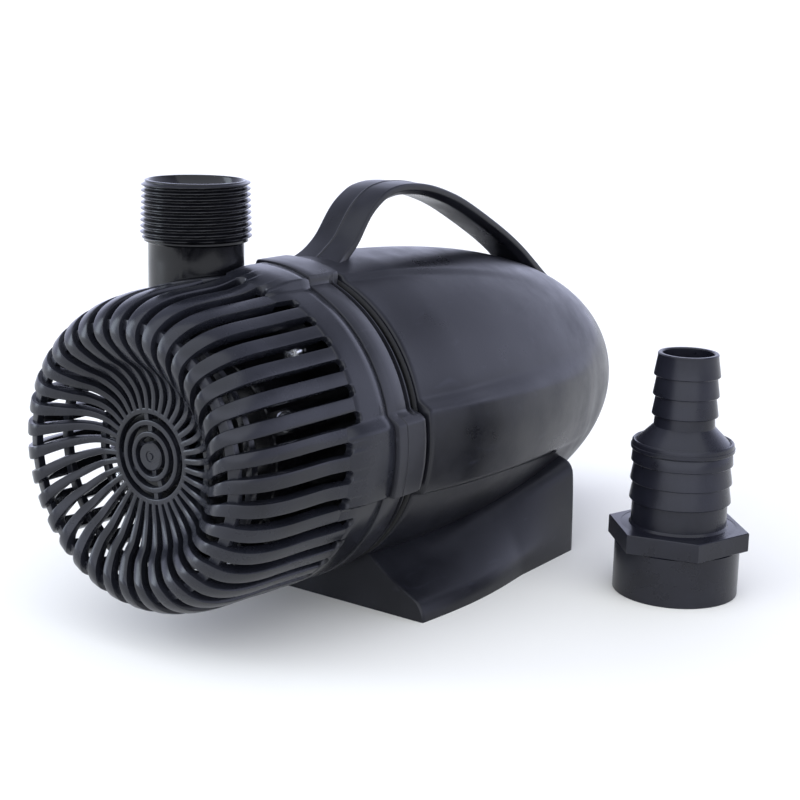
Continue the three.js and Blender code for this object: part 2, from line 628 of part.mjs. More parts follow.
function hoseAdapter() {
  const a = ADAPTER;
  const bigRoot = a.bigBarb - a.barbStep;
  const smallRoot = a.smallBarb - a.barbStep;
  const profile = [[0, 0], [a.socket - 0.6, 0], [a.socket, 0.6], [a.socket, a.hexTop - 1], [bigRoot, a.hexTop - 1]];
  barbs(profile, a.bigBarb, bigRoot, 37.5, 65, 3);
  profile.push([a.bigBarb - 0.6, 65], [smallRoot, 69]);
  barbs(profile, a.smallBarb, smallRoot, 74, 98.5, 3);
  profile.push([smallRoot, a.height], [0, a.height]);
  const body = turnedUpright(profile, 0, 0, 24);
  const hex = new THREE.CylinderGeometry(a.hexCorner, a.hexCorner, a.hexTop - a.hexBottom, 6);
  hex.rotateX(Math.PI / 2);
  hex.rotateZ(radians(a.hexTurn + 30));
  hex.translate(0, 0, (a.hexTop + a.hexBottom) / 2);
  const bore = turnedUpright([[0, -1], [a.socketBore, -1], [a.socketBore, a.socketDepth],
    [a.bigBore, a.socketDepth + 3], [a.bigBore, 62], [a.smallBore, 68], [a.smallBore, a.height + 1],
    [0, a.height + 1]], 0, 0, 24);
  return body.add(toSolid(hex)).subtract(bore);
}

// ---------- assembly ----------

const LOOKS = {
  shellBlack: { color: 0x15171a, roughness: 0.42, metalness: 0 },
  ringBlack: { color: 0x1c1a1a, roughness: 0.5, metalness: 0 },
  glossBlack: { color: 0x0e0f11, roughness: 0.25, metalness: 0 },
  adapterBlack: { color: 0x1a1c20, roughness: 0.45, metalness: 0 },
  wheelGrey: { color: 0x2c3a44, roughness: 0.5, metalness: 0 },
  rubber: { color: 0x101010, roughness: 0.85, metalness: 0 },
  steel: { color: 0xb8bcc0, roughness: 0.3, metalness: 1 },
  laminations: { color: 0x6d7278, roughness: 0.55, metalness: 0.9 },
  copper: { color: 0xb4683a, roughness: 0.4, metalness: 1 },
  resin: { color: 0x2a2622, roughness: 0.6, metalness: 0 },
  ceramic: { color: 0xe6e2d6, roughness: 0.35, metalness: 0 },
};

const group = new THREE.Group();
const pumpGroup = new THREE.Group();
pumpGroup.position.set(0, -ORIGIN_Y, AXIS_HEIGHT);
group.add(pumpGroup);

function addPart(name, solid, look, parent = pumpGroup) {
  const mesh = new THREE.Mesh(toGeometry(solid), new THREE.MeshStandardMaterial(LOOKS[look]));
  mesh.name = name;
  parent.add(mesh);
  return mesh;
}

function addScrews(name, circle, angles, y, length) {
  angles.forEach((angle, index) => {
    const mesh = addPart(`${name}_${index + 1}`, screw(length), 'steel');
    mesh.position.set(circle * Math.cos(radians(angle)), y, circle * Math.sin(radians(angle)));
  });
}

addPart('strainer_cage', strainerCage(), 'shellBlack');
addPart('mounting_ring', mountingRing(), 'ringBlack');
addPart('casing_seal', casingSeal(), 'rubber');
addPart('rear_casing', rearCasing(), 'shellBlack');
addPart('cable_gland_body', glandBody(), 'glossBlack');
addPart('cable_gland_nut', glandNut(), 'glossBlack');
addPart('volute_casing', voluteCasing(), 'glossBlack');
addPart('volute_cover', voluteCover(), 'glossBlack');
addPart('volute_seal', voluteSeal(), 'rubber');
addPart('impeller', impeller(), 'wheelGrey');
addPart('rotor_shaft', rotorShaft(), 'steel');
addPart('rotor_core', rotorCore(), 'steel');
addPart('thrust_washer_front', sleeve(SHAFT.radius + GAP, 7, -11.4, -9, 16), 'ceramic');
addPart('thrust_washer_rear', sleeve(SHAFT.radius + GAP, 7, 59, 61.4, 16), 'ceramic');
addPart('front_bush', sleeve(SHAFT.radius + GAP, 6, -20.4, -12, 16), 'ceramic');
addPart('front_bearing_bracket', bearingBracket(), 'glossBlack');
addPart('rear_bush', sleeve(SHAFT.radius + GAP, 6, 64.4, 74.5, 16), 'ceramic');
addPart('rear_bush_holder', sleeve(6.3, WELL.inner - GAP, 64, 75.8), 'rubber');
addPart('rotor_well', rotorWell(), 'glossBlack');
addPart('stator_core', statorCore(), 'laminations');
addPart('stator_winding', statorWinding(), 'copper');
addPart('potting_resin', pottingResin(), 'resin');
addPart('motor_can', motorCan(), 'steel');
addScrews('cover_screw', COVER.screwCircle, COVER.screwAngles, COVER.front - GAP, 14);
addScrews('motor_screw', MOTOR_POST.circle, MOTOR_POST.angles, MOTOR_POST.front - GAP, 36);
addScrews('casing_screw', RING.screwCircle, RING.screwAngles, RING.flangeFront - GAP, 24);

const adapter = addPart('hose_adapter', hoseAdapter(), 'adapterBlack', group);
adapter.position.set(ADAPTER.x, ADAPTER.y - ORIGIN_Y, 0);

export default group;
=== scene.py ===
"""Looks of the fountain submersible pump and its hose adapter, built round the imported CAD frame.

Lengths are written in millimetres in "pump" coordinates and turned into metres by pump():
x to the side, y along the motor axis from the casing's front edge, z from the motor axis.
Angles round the motor axis are in degrees from +X towards +Z.
"""

import math

import bmesh
import bpy
import numpy as np
from mathutils import Matrix, Vector


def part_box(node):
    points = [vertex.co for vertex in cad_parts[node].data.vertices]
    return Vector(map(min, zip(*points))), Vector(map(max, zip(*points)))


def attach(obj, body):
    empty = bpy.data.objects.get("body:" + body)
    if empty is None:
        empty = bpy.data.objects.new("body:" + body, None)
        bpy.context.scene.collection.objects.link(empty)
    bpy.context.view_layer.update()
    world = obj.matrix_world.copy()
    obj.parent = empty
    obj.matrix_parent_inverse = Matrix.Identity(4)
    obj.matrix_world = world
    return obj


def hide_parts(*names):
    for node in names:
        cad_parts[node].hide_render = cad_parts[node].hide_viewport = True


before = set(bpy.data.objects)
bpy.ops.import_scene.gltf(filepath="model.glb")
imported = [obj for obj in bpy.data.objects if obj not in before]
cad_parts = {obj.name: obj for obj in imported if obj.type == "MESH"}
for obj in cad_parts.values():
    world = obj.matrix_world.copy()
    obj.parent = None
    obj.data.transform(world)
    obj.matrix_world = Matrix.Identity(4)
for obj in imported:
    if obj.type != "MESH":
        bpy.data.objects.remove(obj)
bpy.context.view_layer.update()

MM = 0.001
TAU = 2 * math.pi

# ---------- places read from the frame ----------

SEAL_LOW, SEAL_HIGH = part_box("casing_seal")
CASING_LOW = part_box("rear_casing")[0]
ADAPTER_LOW, ADAPTER_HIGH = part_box("hose_adapter")
OUTLET_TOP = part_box("volute_casing")[1].z / MM

AXIS_X = (SEAL_LOW.x + SEAL_HIGH.x) / 2 / MM
AXIS_Z = (SEAL_LOW.z + SEAL_HIGH.z) / 2 / MM
FRONT_Y = CASING_LOW.y / MM
ADAPTER_X = (ADAPTER_LOW.x + ADAPTER_HIGH.x) / 2 / MM
ADAPTER_Y = (ADAPTER_LOW.y + ADAPTER_HIGH.y) / 2 / MM

# ---------- sizes, in millimetres ----------

RIB_COUNT = 36
RIB_FIRST = 4.5
RIB_STATIONS = 84
RIB_DEPTH = 4.6
RIB_HUB_DEPTH = 3.2
RIB_HUB_WIDTH = 2.1
RIB_SIDE_WIDTH = 5.5
HUB_FACE = -82.2
CAGE_REAR = -20.0
CAGE_RADIUS = 61.8
CAGE_WALL = 2.6
CAGE_PAD_SIDE = 2.9
CAGE_PAD_TOP = 3.0
BAND_STEPS = 900
CUT_HALF = 20.8
SLOT_END = -35.0
CAGE_LINE_END = -33.0
PAD_SLOT_END = -42.5

RING_FRONT = -19.7
RING_REAR = -2.6
RING_RADIUS = 61.8
RING_BORE = 57.2
RING_STEPS = 1080
BLOCK_HEIGHT = 4.4
TOP_BLOCK_HEIGHT = 3.2

CASING_RADIUS = 63.0
CASING_BULGE = 67.6
CASING_REAR = 204.5
CASING_STRAIGHT = 38.0
CASING_DROP = 6.6
CASING_WALL = 3.0
CASING_STEPS = 360
DOME_EXPONENT = 2.52

FOOT_LENGTH = 117.0
FOOT_LEVELS = 25

OUTLET_X = -19.8
OUTLET_Y = -36.5
PIPE_RADIUS = 18.15
PIPE_BORE = 15.3
THREAD_PITCH = 2.209
THREAD_TURNS = 10
THREAD_RADIUS = 20.45
THREAD_DEPTH = 1.5
THREAD_ROWS = 150

VOLUTE_FACE = -53.4
COVER_REAR = -53.8
COVER_FRONT = -56.8
EYE_RADIUS = 15.5
BLADE_COUNT = 7

SCREW_HEAD = 2.6
SCREW_PITCH = 0.7

ADAPTER_HEIGHT = 99.6
HEX_LOW = 20.2
HEX_HIGH = 28.0
HEX_CORNER = 29.3
HEX_BORE = 23.5
HEX_TURN = 13.5

PLASTIC_SPECULAR = 0.33

CAMERA_PLACE = (0.41477, -0.49743, 0.22833)
CAMERA_LENS = 75.02
CAMERA_AZIMUTH = 36.19
CAMERA_ELEVATION = 12.96
CAMERA_ROLL = 1.35
FLOOR_HALF = 30.0


def smoothstep(value, low, high):
    """0 below low, 1 above high, and a smooth step between."""
    t = np.clip((np.asarray(value, float) - low) / (high - low), 0, 1)
    return t * t * (3 - 2 * t)


def pump(x, y, z):
    """A point given in pump millimetres, in metres in the part's frame."""
    return ((AXIS_X + x) * MM, (FRONT_Y + y) * MM, (AXIS_Z + z) * MM)


def polar(radius, degrees, y):
    """A point at a radius and an angle round the motor axis."""
    a = math.radians(degrees)
    return pump(radius * math.cos(a), y, radius * math.sin(a))


def circle(x, z, radius, y, angles):
    """Points round a line along Y, at angles in radians."""
    return [pump(x + radius * math.cos(a), y, z + radius * math.sin(a)) for a in angles]


# ---------- mesh building ----------


def add_mesh(name, points, faces, material, body, sharp=38.0):
    """A smooth-shaded mesh object that rides on a body. Edges steeper than sharp degrees stay crisp."""
    mesh = bpy.data.meshes.new(name)
    mesh.from_pydata([tuple(p) for p in points], [], faces)
    mesh.validate()
    mesh.shade_smooth()
    mesh.set_sharp_from_angle(angle=math.radians(sharp))
    piece = bpy.data.objects.new(name, mesh)
    bpy.context.scene.collection.objects.link(piece)
    piece.data.materials.append(material)
    fix_normals(piece)
    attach(piece, body)
    return piece


def fix_normals(piece):
    """Turns every face of a piece outwards."""
    work = bmesh.new()
    work.from_mesh(piece.data)
    bmesh.ops.recalc_face_normals(work, faces=work.faces)
    work.to_mesh(piece.data)
    work.free()


def strip_faces(rows, columns, start=0, wrap_rows=False, wrap_columns=True):
    """Quads over a grid of points numbered row by row."""
    faces = []
    for r in range(rows if wrap_rows else rows - 1):
        for c in range(columns if wrap_columns else columns - 1):
            a = start + r * columns + c
            b = start + r * columns + (c + 1) % columns
            below = ((r + 1) % rows) * columns
            faces.append((a, b, start + below + (c + 1) % columns, start + below + c))
    return faces


class Shape:
    """Points and faces gathered from several closed bodies of one moulding."""

    def __init__(self):
        self.points = []
        self.faces = []

    def add(self, points, faces):
        start = len(self.points)
        self.points.extend(points)
        self.faces.extend(tuple(start + i for i in face) for face in faces)

    def loft(self, sections):
        """A closed bar through rings of points, capped at both ends."""
        count = len(sections[0])
        points = [p for section in sections for p in section]
        faces = strip_faces(len(sections), count)
        faces.append(tuple(range(count)))
        faces.append(tuple(range(len(points) - 1, len(points) - count - 1, -1)))
        self.add(points, faces)

    def loop(self, sections):
        """A closed ring through sections, the last joined to the first."""
        points = [p for section in sections for p in section]
        self.add(points, strip_faces(len(sections), len(sections[0]), wrap_rows=True))

    def turned(self, profile, steps=96, start=0.0, end=360.0):
        """A closed [radius, y] outline turned about the motor axis, all round or between two angles."""
        whole = end - start >= 360
        angles = np.linspace(start, end, steps, endpoint=not whole)
        sections = [[polar(r, a, y) for r, y in profile] for a in angles]
        if whole:
            self.loop(sections)
        else:
            self.loft(sections)

    def make(self, name, material, body, sharp=38.0):
        return add_mesh(name, self.points, self.faces, material, body, sharp)


def rounded(outline, radius, steps=3):
    """A closed 2-D outline with its corners rounded."""
    result = []
    count = len(outline)
    for i in range(count):
        here = Vector(outline[i])
        before = Vector(outline[i - 1]) - here
        after = Vector(outline[(i + 1) % count]) - here
        reach = min(radius, before.length * 0.45, after.length * 0.45)
        a = here + before.normalized() * reach
        b = here + after.normalized() * reach
        for k in range(steps + 1):
            t = k / steps
            point = a.lerp(here, t).lerp(here.lerp(b, t), t)
            result.append((point.x, point.y))
    return result


def spline(points, count):
    """Evenly spaced points and unit tangents on a smooth curve through 2-D points."""
    knots = np.array(points, float)
    dense = []
    padded = np.vstack([2 * knots[0] - knots[1], knots, 2 * knots[-1] - knots[-2]])
    for i in range(1, len(padded) - 2):
        p0, p1, p2, p3 = padded[i - 1 : i + 3]
        for t in np.linspace(0, 1, 24, endpoint=False):
            dense.append(0.5 * (2 * p1 + (p2 - p0) * t + (2 * p0 - 5 * p1 + 4 * p2 - p3) * t**2
                                + (3 * p1 - p0 - 3 * p2 + p3) * t**3))
    dense.append(knots[-1])
    dense = np.array(dense)
    length = np.concatenate([[0], np.cumsum(np.linalg.norm(np.diff(dense, axis=0), axis=1))])
    at = np.linspace(0, length[-1], count)
    line = np.stack([np.interp(at, length, dense[:, k]) for k in range(2)], 1)
    tangent = np.gradient(line, axis=0)
    tangent /= np.linalg.norm(tangent, axis=1)[:, None]
    return line, tangent


# ---------- materials ----------


def plastic(name, colour, roughness, mottle=0.08, grain=0.06, scuffs=0.0, grain_scale=900.0):
    """Moulded plastic: cloudy gloss from handling, a fine moulded grain and, if asked, pale rubbed scuffs."""
    material = bpy.data.materials.new(name)
    material.use_nodes = True
    nodes = material.node_tree.nodes
    links = material.node_tree.links
    shader = nodes["Principled BSDF"]
    shader.inputs["Specular IOR Level"].default_value = PLASTIC_SPECULAR
    place = nodes.new("ShaderNodeTexCoord")

    cloud = nodes.new("ShaderNodeTexNoise")
    cloud.inputs["Scale"].default_value = 34.0
    cloud.inputs["Detail"].default_value = 6.0
    cloud.inputs["Roughness"].default_value = 0.62
    links.new(place.outputs["Object"], cloud.inputs["Vector"])
    gloss = nodes.new("ShaderNodeMapRange")
    gloss.inputs["From Min"].default_value = 0.3
    gloss.inputs["From Max"].default_value = 0.7
    gloss.inputs["To Min"].default_value = roughness - mottle
    gloss.inputs["To Max"].default_value = roughness + mottle
    links.new(cloud.outputs["Fac"], gloss.inputs["Value"])
    links.new(gloss.outputs["Result"], shader.inputs["Roughness"])

    tint = nodes.new("ShaderNodeValToRGB")
    tint.color_ramp.elements[0].position = 0.35
    tint.color_ramp.elements[1].position = 0.75
    tint.color_ramp.elements[0].color = (*[c * 0.7 for c in colour], 1)
    tint.color_ramp.elements[1].color = (*[c * 1.5 for c in colour], 1)
    links.new(cloud.outputs["Fac"], tint.inputs["Fac"])
    base = tint.outputs["Color"]

    if scuffs:
        base = add_scuffs(nodes, links, place, base, colour, scuffs)
    links.new(base, shader.inputs["Base Color"])
    add_grain(nodes, links, place, shader, grain, grain_scale)
    return material


def add_scuffs(nodes, links, place, base, colour, amount):
    """Pale streaks along the motor axis, mixed over a base colour."""
    scratch = nodes.new("ShaderNodeTexNoise")
    scratch.inputs["Scale"].default_value = 120.0
    scratch.inputs["Detail"].default_value = 8.0
    scratch.inputs["Distortion"].default_value = 1.4
    stretch = nodes.new("ShaderNodeMapping")
    stretch.inputs["Scale"].default_value = (1.0, 0.35, 1.0)
    links.new(place.outputs["Object"], stretch.inputs["Vector"])
    links.new(stretch.outputs["Vector"], scratch.inputs["Vector"])
    cut = nodes.new("ShaderNodeValToRGB")
    cut.color_ramp.elements[0].position = 0.62
    cut.color_ramp.elements[1].position = 0.78
    cut.color_ramp.elements[1].color = (amount, amount, amount, 1)
    links.new(scratch.outputs["Fac"], cut.inputs["Fac"])
    worn = nodes.new("ShaderNodeMix")
    worn.data_type = "RGBA"
    worn.inputs[7].default_value = (*[c * 3.2 for c in colour], 1)
    links.new(cut.outputs["Color"], worn.inputs[0])
    links.new(base, worn.inputs[6])
    return worn.outputs[2]


def add_grain(nodes, links, place, shader, strength, scale):
    """A fine moulded grain, as a shallow bump."""
    fine = nodes.new("ShaderNodeTexNoise")
    fine.inputs["Scale"].default_value = scale
    fine.inputs["Detail"].default_value = 3.0
    links.new(place.outputs["Object"], fine.inputs["Vector"])
    relief = nodes.new("ShaderNodeBump")
    relief.inputs["Strength"].default_value = strength
    relief.inputs["Distance"].default_value = 0.0003
    links.new(fine.outputs["Fac"], relief.inputs["Height"])
    links.new(relief.outputs["Normal"], shader.inputs["Normal"])


def metal(name, colour, roughness, spread=0.08, scale=300.0, stretch=(1.0, 1.0, 1.0)):
    """Bare metal with uneven gloss. The stretch draws the noise out into lines or layers."""
    material = bpy.data.materials.new(name)
    material.use_nodes = True
    nodes = material.node_tree.nodes
    links = material.node_tree.links
    shader = nodes["Principled BSDF"]
    shader.inputs["Base Color"].default_value = (*colour, 1)
    shader.inputs["Metallic"].default_value = 1.0
    place = nodes.new("ShaderNodeTexCoord")
    turn = nodes.new("ShaderNodeMapping")
    turn.inputs["Scale"].default_value = stretch
    links.new(place.outputs["Object"], turn.inputs["Vector"])
    noise = nodes.new("ShaderNodeTexNoise")
    noise.inputs["Scale"].default_value = scale
    noise.inputs["Detail"].default_value = 5.0
    links.new(turn.outputs["Vector"], noise.inputs["Vector"])
    gloss = nodes.new("ShaderNodeMapRange")
    gloss.inputs["To Min"].default_value = roughness - spread
    gloss.inputs["To Max"].default_value = roughness + spread
    links.new(noise.outputs["Fac"], gloss.inputs["Value"])
    links.new(gloss.outputs["Result"], shader.inputs["Roughness"])
    relief = nodes.new("ShaderNodeBump")
    relief.inputs["Strength"].default_value = 0.05
    relief.inputs["Distance"].default_value = 0.0002
    links.new(noise.outputs["Fac"], relief.inputs["Height"])
    links.new(relief.outputs["Normal"], shader.inputs["Normal"])
    return material


SHELL = plastic("shell_plastic", (0.0060, 0.0063, 0.0090), 0.35, mottle=0.11, scuffs=0.8)
CAGE = plastic("cage_plastic", (0.0112, 0.0119, 0.0158), 0.25, mottle=0.07)
RING = plastic("ring_plastic", (0.0165, 0.0168, 0.0205), 0.34, mottle=0.1, scuffs=0.7)
PIPE = plastic("pipe_plastic", (0.0035, 0.0036, 0.0045), 0.18, mottle=0.05, grain=0.03)
FITTING = plastic("fitting_plastic", (0.0095, 0.0099, 0.0150), 0.29, mottle=0.05)
WHEEL = plastic("wheel_plastic", (0.012, 0.018, 0.024), 0.5)
RUBBER = plastic("seal_rubber", (0.004, 0.004, 0.004), 0.6, grain=0.15)
RESIN = plastic("potting_resin_mix", (0.03, 0.025, 0.02), 0.55, mottle=0.12)
CERAMIC = plastic("ceramic_white", (0.75, 0.73, 0.66), 0.3, mottle=0.05, grain=0.02)
STEEL = metal("stainless_steel", (0.72, 0.73, 0.75), 0.24)
LAMINATION = metal("laminated_steel", (0.34, 0.35, 0.37), 0.45, scale=60.0, stretch=(1.0, 40.0, 1.0))
COPPER = metal("winding_copper", (0.72, 0.32, 0.16), 0.38, scale=90.0, stretch=(1.0, 12.0, 1.0))


# ---------- strainer cage ----------

# A rib's outer edge as [radius, y], from the hub over the shoulder and back along the side.
CAGE_LINE, CAGE_TANGENT = spline(
    [(17.0, HUB_FACE), (25, -82.8), (32, -86), (37.5, -91.5), (45, -95.6), (52, -93.6), (57, -86.5),
     (59.6, -75), (60.4, -56), (61.0, -45), (61.4, CAGE_LINE_END)], RIB_STATIONS)
CAGE_SIDE = CAGE_LINE[CAGE_LINE[:, 0] > 56]


def sweep_of(hub_angle):
    """How far a rib turns between the hub and the side: a little more under the cage than over it."""
    a = math.radians(hub_angle)
    return 13.5 + 2.0 * math.cos(a) - 3.3 * math.sin(a)


def hub_angle_of(index):
    return RIB_FIRST + 360 / RIB_COUNT * index


def side_angle(index):
    """The angle at which a rib runs along the side of the cage."""
    hub_angle = hub_angle_of(index)
    return hub_angle + sweep_of(hub_angle)


def pad_height(degrees, y):
    """How far the cage stands out where it runs into the ring's side blocks and top block."""
    a = (degrees + 180) % 360 - 180
    mirrored = 180 - a if a > 90 else (-180 - a if a < -90 else a)
    side = smoothstep(mirrored, -17.5, -15) * (1 - smoothstep(mirrored, 8.5, 13.5))
    top = smoothstep(a, 67.5, 70.5) * (1 - smoothstep(a, 93, 96))
    ramp = smoothstep(y, -56, -30)
    return float(ramp * (CAGE_PAD_SIDE * side + CAGE_PAD_TOP * top))


def cage_radius(degrees, y):
    """Outer radius of the cage's side, pads included."""
    return float(np.interp(y, CAGE_SIDE[:, 1], CAGE_SIDE[:, 0])) + pad_height(degrees, y)


def inside_outlet_cut(x, y, half):
    """Whether a point in plan lies in the U-shaped cut that lets the outlet pipe through."""
    dx = abs(x - OUTLET_X)
    if y >= OUTLET_Y:
        return dx < half
    return math.hypot(dx, y - OUTLET_Y) < half


def half_gap(index):
    """Half the width of the slot between this rib and the next."""
    step = side_angle(index + 1) - side_angle(index)
    return math.radians(step / 2) * CAGE_RADIUS - RIB_SIDE_WIDTH / 2


def slot_end(index):
    """Where the round end of the slot after this rib stops: further forward on the pads."""
    middle = (side_angle(index) + side_angle(index + 1)) / 2
    return PAD_SLOT_END if pad_height(middle, -30) > 1.2 else SLOT_END


def rib_end(index):
    """Where a rib gives way to the band, level with the start of the round ends beside it."""
    return min(slot_end(index - 1) - half_gap(index - 1), slot_end(index) - half_gap(index))


def slot_edge(degrees):
    """Where the rear band starts at this angle: at the round end of a slot, or at the end of a rib."""
    index = max(i for i in range(-2, RIB_COUNT + 2) if side_angle(i) <= degrees)
    middle = (side_angle(index) + side_angle(index + 1)) / 2
    gap = half_gap(index)
    offset = abs(math.radians(degrees - middle) * CAGE_RADIUS)
    if offset < gap:
        return slot_end(index) - gap + math.sqrt(gap**2 - offset**2)
    return rib_end(index if degrees < middle else index + 1)


def rib_sections(index):
    """Sections of one rib from the hub to the rear band, or to the frame of the outlet cut."""
    hub_angle = hub_angle_of(index)
    sweep = sweep_of(hub_angle)
    outline = rounded([(-0.5, -1.0), (0.5, -1.0), (0.5, 0.0), (-0.5, 0.0)], 0.18, 2)
    stop = rib_end(index) + 0.25
    sections = []
    for (r, y), (tr, ty) in zip(CAGE_LINE, CAGE_TANGENT):
        last = y > stop
        if last:
            r, y = float(np.interp(stop, CAGE_SIDE[:, 1], CAGE_SIDE[:, 0])), stop
        turn = hub_angle + sweep * float(smoothstep(r, 20, 52))
        a = math.radians(turn)
        outer = r + pad_height(turn, y)
        if r > 50 and math.sin(a) > 0 and inside_outlet_cut(outer * math.cos(a), y, CUT_HALF):
            break
        width = RIB_HUB_WIDTH + (RIB_SIDE_WIDTH - RIB_HUB_WIDTH) * float(smoothstep(r, 19, 58))
        depth = RIB_HUB_DEPTH + (RIB_DEPTH - RIB_HUB_DEPTH) * float(smoothstep(r, 20, 45))
        section = []
        for u, v in outline:
            inward = v * depth
            radius = outer + ty * inward
            y_here = y - tr * inward
            across = u * width
            section.append(pump(radius * math.cos(a) - across * math.sin(a), y_here,
                                radius * math.sin(a) + across * math.cos(a)))
        sections.append(section)
        if last:
            break
    return sections


def cage_ribs(shape):
    """All the ribs of the cage."""
    for index in range(RIB_COUNT):
        shape.loft(rib_sections(index))


def cage_hub(shape):
    """Three rings and a centre disc, joined by short bridges, with a small moulding gate in the middle."""
    face = HUB_FACE
    for inner, outer in ((7.3, 9.3), (11.5, 13.5), (15.8, 17.9)):
        rear = face + 3.2
        shape.turned(rounded([(inner, face), (outer, face), (outer, rear), (inner, rear)], 0.45), 96)
    disc = [(0.001, face - 0.05), (1.1, face - 0.05), (1.3, face + 0.35), (1.9, face + 0.35), (2.1, face),
            (4.9, face), (5.4, face + 0.5), (5.4, face + 3), (0.001, face + 3)]
    shape.turned(disc, 64)
    bridges = ((100, 15.0, 12.8, 0.9), (-82, 15.0, 12.8, 0.9), (8, 15.0, 12.8, 1.5), (188, 15.0, 12.8, 1.5),
               (96, 11.0, 8.8, 1.3), (-70, 11.0, 8.8, 1.3), (215, 11.0, 8.8, 1.3), (30, 6.6, 4.0, 2.0),
               (150, 6.6, 4.0, 2.0), (-90, 6.6, 4.0, 2.0))
    for angle, outer, inner, sink in bridges:
        a = math.radians(angle)
        along = Vector((math.cos(a), math.sin(a)))
        side = Vector((-along.y, along.x)) * 1.0
        sections = []
        for reach in (inner - 0.6, outer + 1.6):
            centre = along * reach
            corners = [centre - side, centre + side]
            front, rear = face + sink, face + 3
            sections.append([pump(corners[0].x, front, corners[0].y), pump(corners[1].x, front, corners[1].y),
                             pump(corners[1].x, rear, corners[1].y), pump(corners[0].x, rear, corners[0].y)])
        shape.loft(sections)


def cage_hoops(shape):
    """Thin hoops that tie the ribs together behind their outer faces."""
    shape.turned(rounded([(24.6, -80.4), (27.4, -80.4), (27.4, -78), (24.6, -78)], 0.4), 120)
    shape.turned(rounded([(47.6, -93.2), (51.4, -92.2), (51.0, -89.2), (47.2, -90.2)], 0.4), 160)
    shape.turned(rounded([(44.6, -80.5), (47.6, -80.5), (47.6, -77.5), (44.6, -77.5)], 0.4), 144)


def cage_band(shape):
    """The rear band, open where the outlet passes, with a round end to each slot."""
    first = math.degrees(math.acos((OUTLET_X - CUT_HALF) / CAGE_RADIUS))
    last = 360 + math.degrees(math.acos((OUTLET_X + CUT_HALF) / CAGE_RADIUS))
    sections = []
    for angle in np.linspace(first, last, BAND_STEPS):
        look = angle % 360
        look = look if look >= side_angle(0) else look + 360
        front = slot_edge(look)
        section = [polar(cage_radius(look, front) - 0.3, angle, front)]
        for row in (front + 0.3, -34.0, -30.0, -25.0, CAGE_REAR - 0.5):
            row = max(front + 0.3, row)
            section.append(polar(cage_radius(look, row), angle, row))
        section.append(polar(cage_radius(look, CAGE_REAR) - 0.5, angle, CAGE_REAR))
        section.append(polar(CAGE_RADIUS - CAGE_WALL, angle, CAGE_REAR))
        section.append(polar(CAGE_RADIUS - CAGE_WALL - 0.3, angle, front))
        sections.append(section)
    shape.loft(sections)


def cage_outlet_frame(shape):
    """A U-shaped wall round the cut that lets the outlet pipe through, open towards the rear."""
    path = [(OUTLET_X + CUT_HALF, y) for y in np.linspace(CAGE_REAR, OUTLET_Y, 10)]
    path += [(OUTLET_X + CUT_HALF * math.cos(a), OUTLET_Y + CUT_HALF * math.sin(a))
             for a in np.linspace(0, -math.pi, 40)[1:-1]]
    path += [(OUTLET_X - CUT_HALF, y) for y in np.linspace(OUTLET_Y, CAGE_REAR, 10)]
    line = np.array(path)
    tangent = np.gradient(line, axis=0)
    tangent /= np.linalg.norm(tangent, axis=1)[:, None]
    sections = []
    for (x, y), (tx, ty) in zip(line, tangent):
        normal = (-ty, tx)
        section = []
        for side, drop in rounded([(-1.4, 0.3), (1.4, 0.3), (1.4, -5.0), (-1.4, -5.0)], 0.5, 2):
            px = x + normal[0] * side
            py = y + normal[1] * side
            radius = cage_radius(90, max(py, -60)) - pad_height(90, py)
            top = math.sqrt(max(1.0, radius**2 - px**2))
            section.append(pump(px, py, top + drop))
        sections.append(section)
    shape.loft(sections)


def cage_hooks(shape):
    """Four hooks inside the band that snap into the ring."""
    outline = rounded([(54.8, -25), (60.4, -25), (60.4, -22.5), (56.4, -21.5), (56.4, -11), (57.1, -10),
                       (56.4, -8.2), (54.8, -8.2)], 0.3, 2)
    for angle in (40, 140, 220, 320):
        shape.turned(outline, 9, angle - 4.5, angle + 4.5)


def build_cage():
    """The strainer cage: ribs, hub rings, tie hoops, rear band, outlet frame and hooks."""
    ribs = Shape()
    cage_ribs(ribs)
    piece = ribs.make("cage_ribs", CAGE, "strainer", 50)
    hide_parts("strainer_cage")
    hub = Shape()
    cage_hub(hub)
    hub.make("cage_hub_rings", CAGE, "strainer")
    hoops = Shape()
    cage_hoops(hoops)
    hoops.make("cage_hoops", CAGE, "strainer")
    band = Shape()
    cage_band(band)
    band.make("cage_rear_band", CAGE, "strainer", 50)
    rest = Shape()
    cage_outlet_frame(rest)
    cage_hooks(rest)
    rest.make("cage_outlet_frame", CAGE, "strainer")


# ---------- mounting ring and seal ----------


def block_heights(degrees):
    """How far the ring's side blocks and its top block stand out at this angle."""
    a = (degrees + 180) % 360 - 180
    mirrored = 180 - a if a > 90 else (-180 - a if a < -90 else a)
    side = smoothstep(mirrored, -16.6, -15.4) * (1 - smoothstep(mirrored, 8.5, 13.5))
    top = smoothstep(a, 68.5, 70.5) * (1 - smoothstep(a, 93.5, 95.5))
    return float(BLOCK_HEIGHT * side), float(TOP_BLOCK_HEIGHT * top)


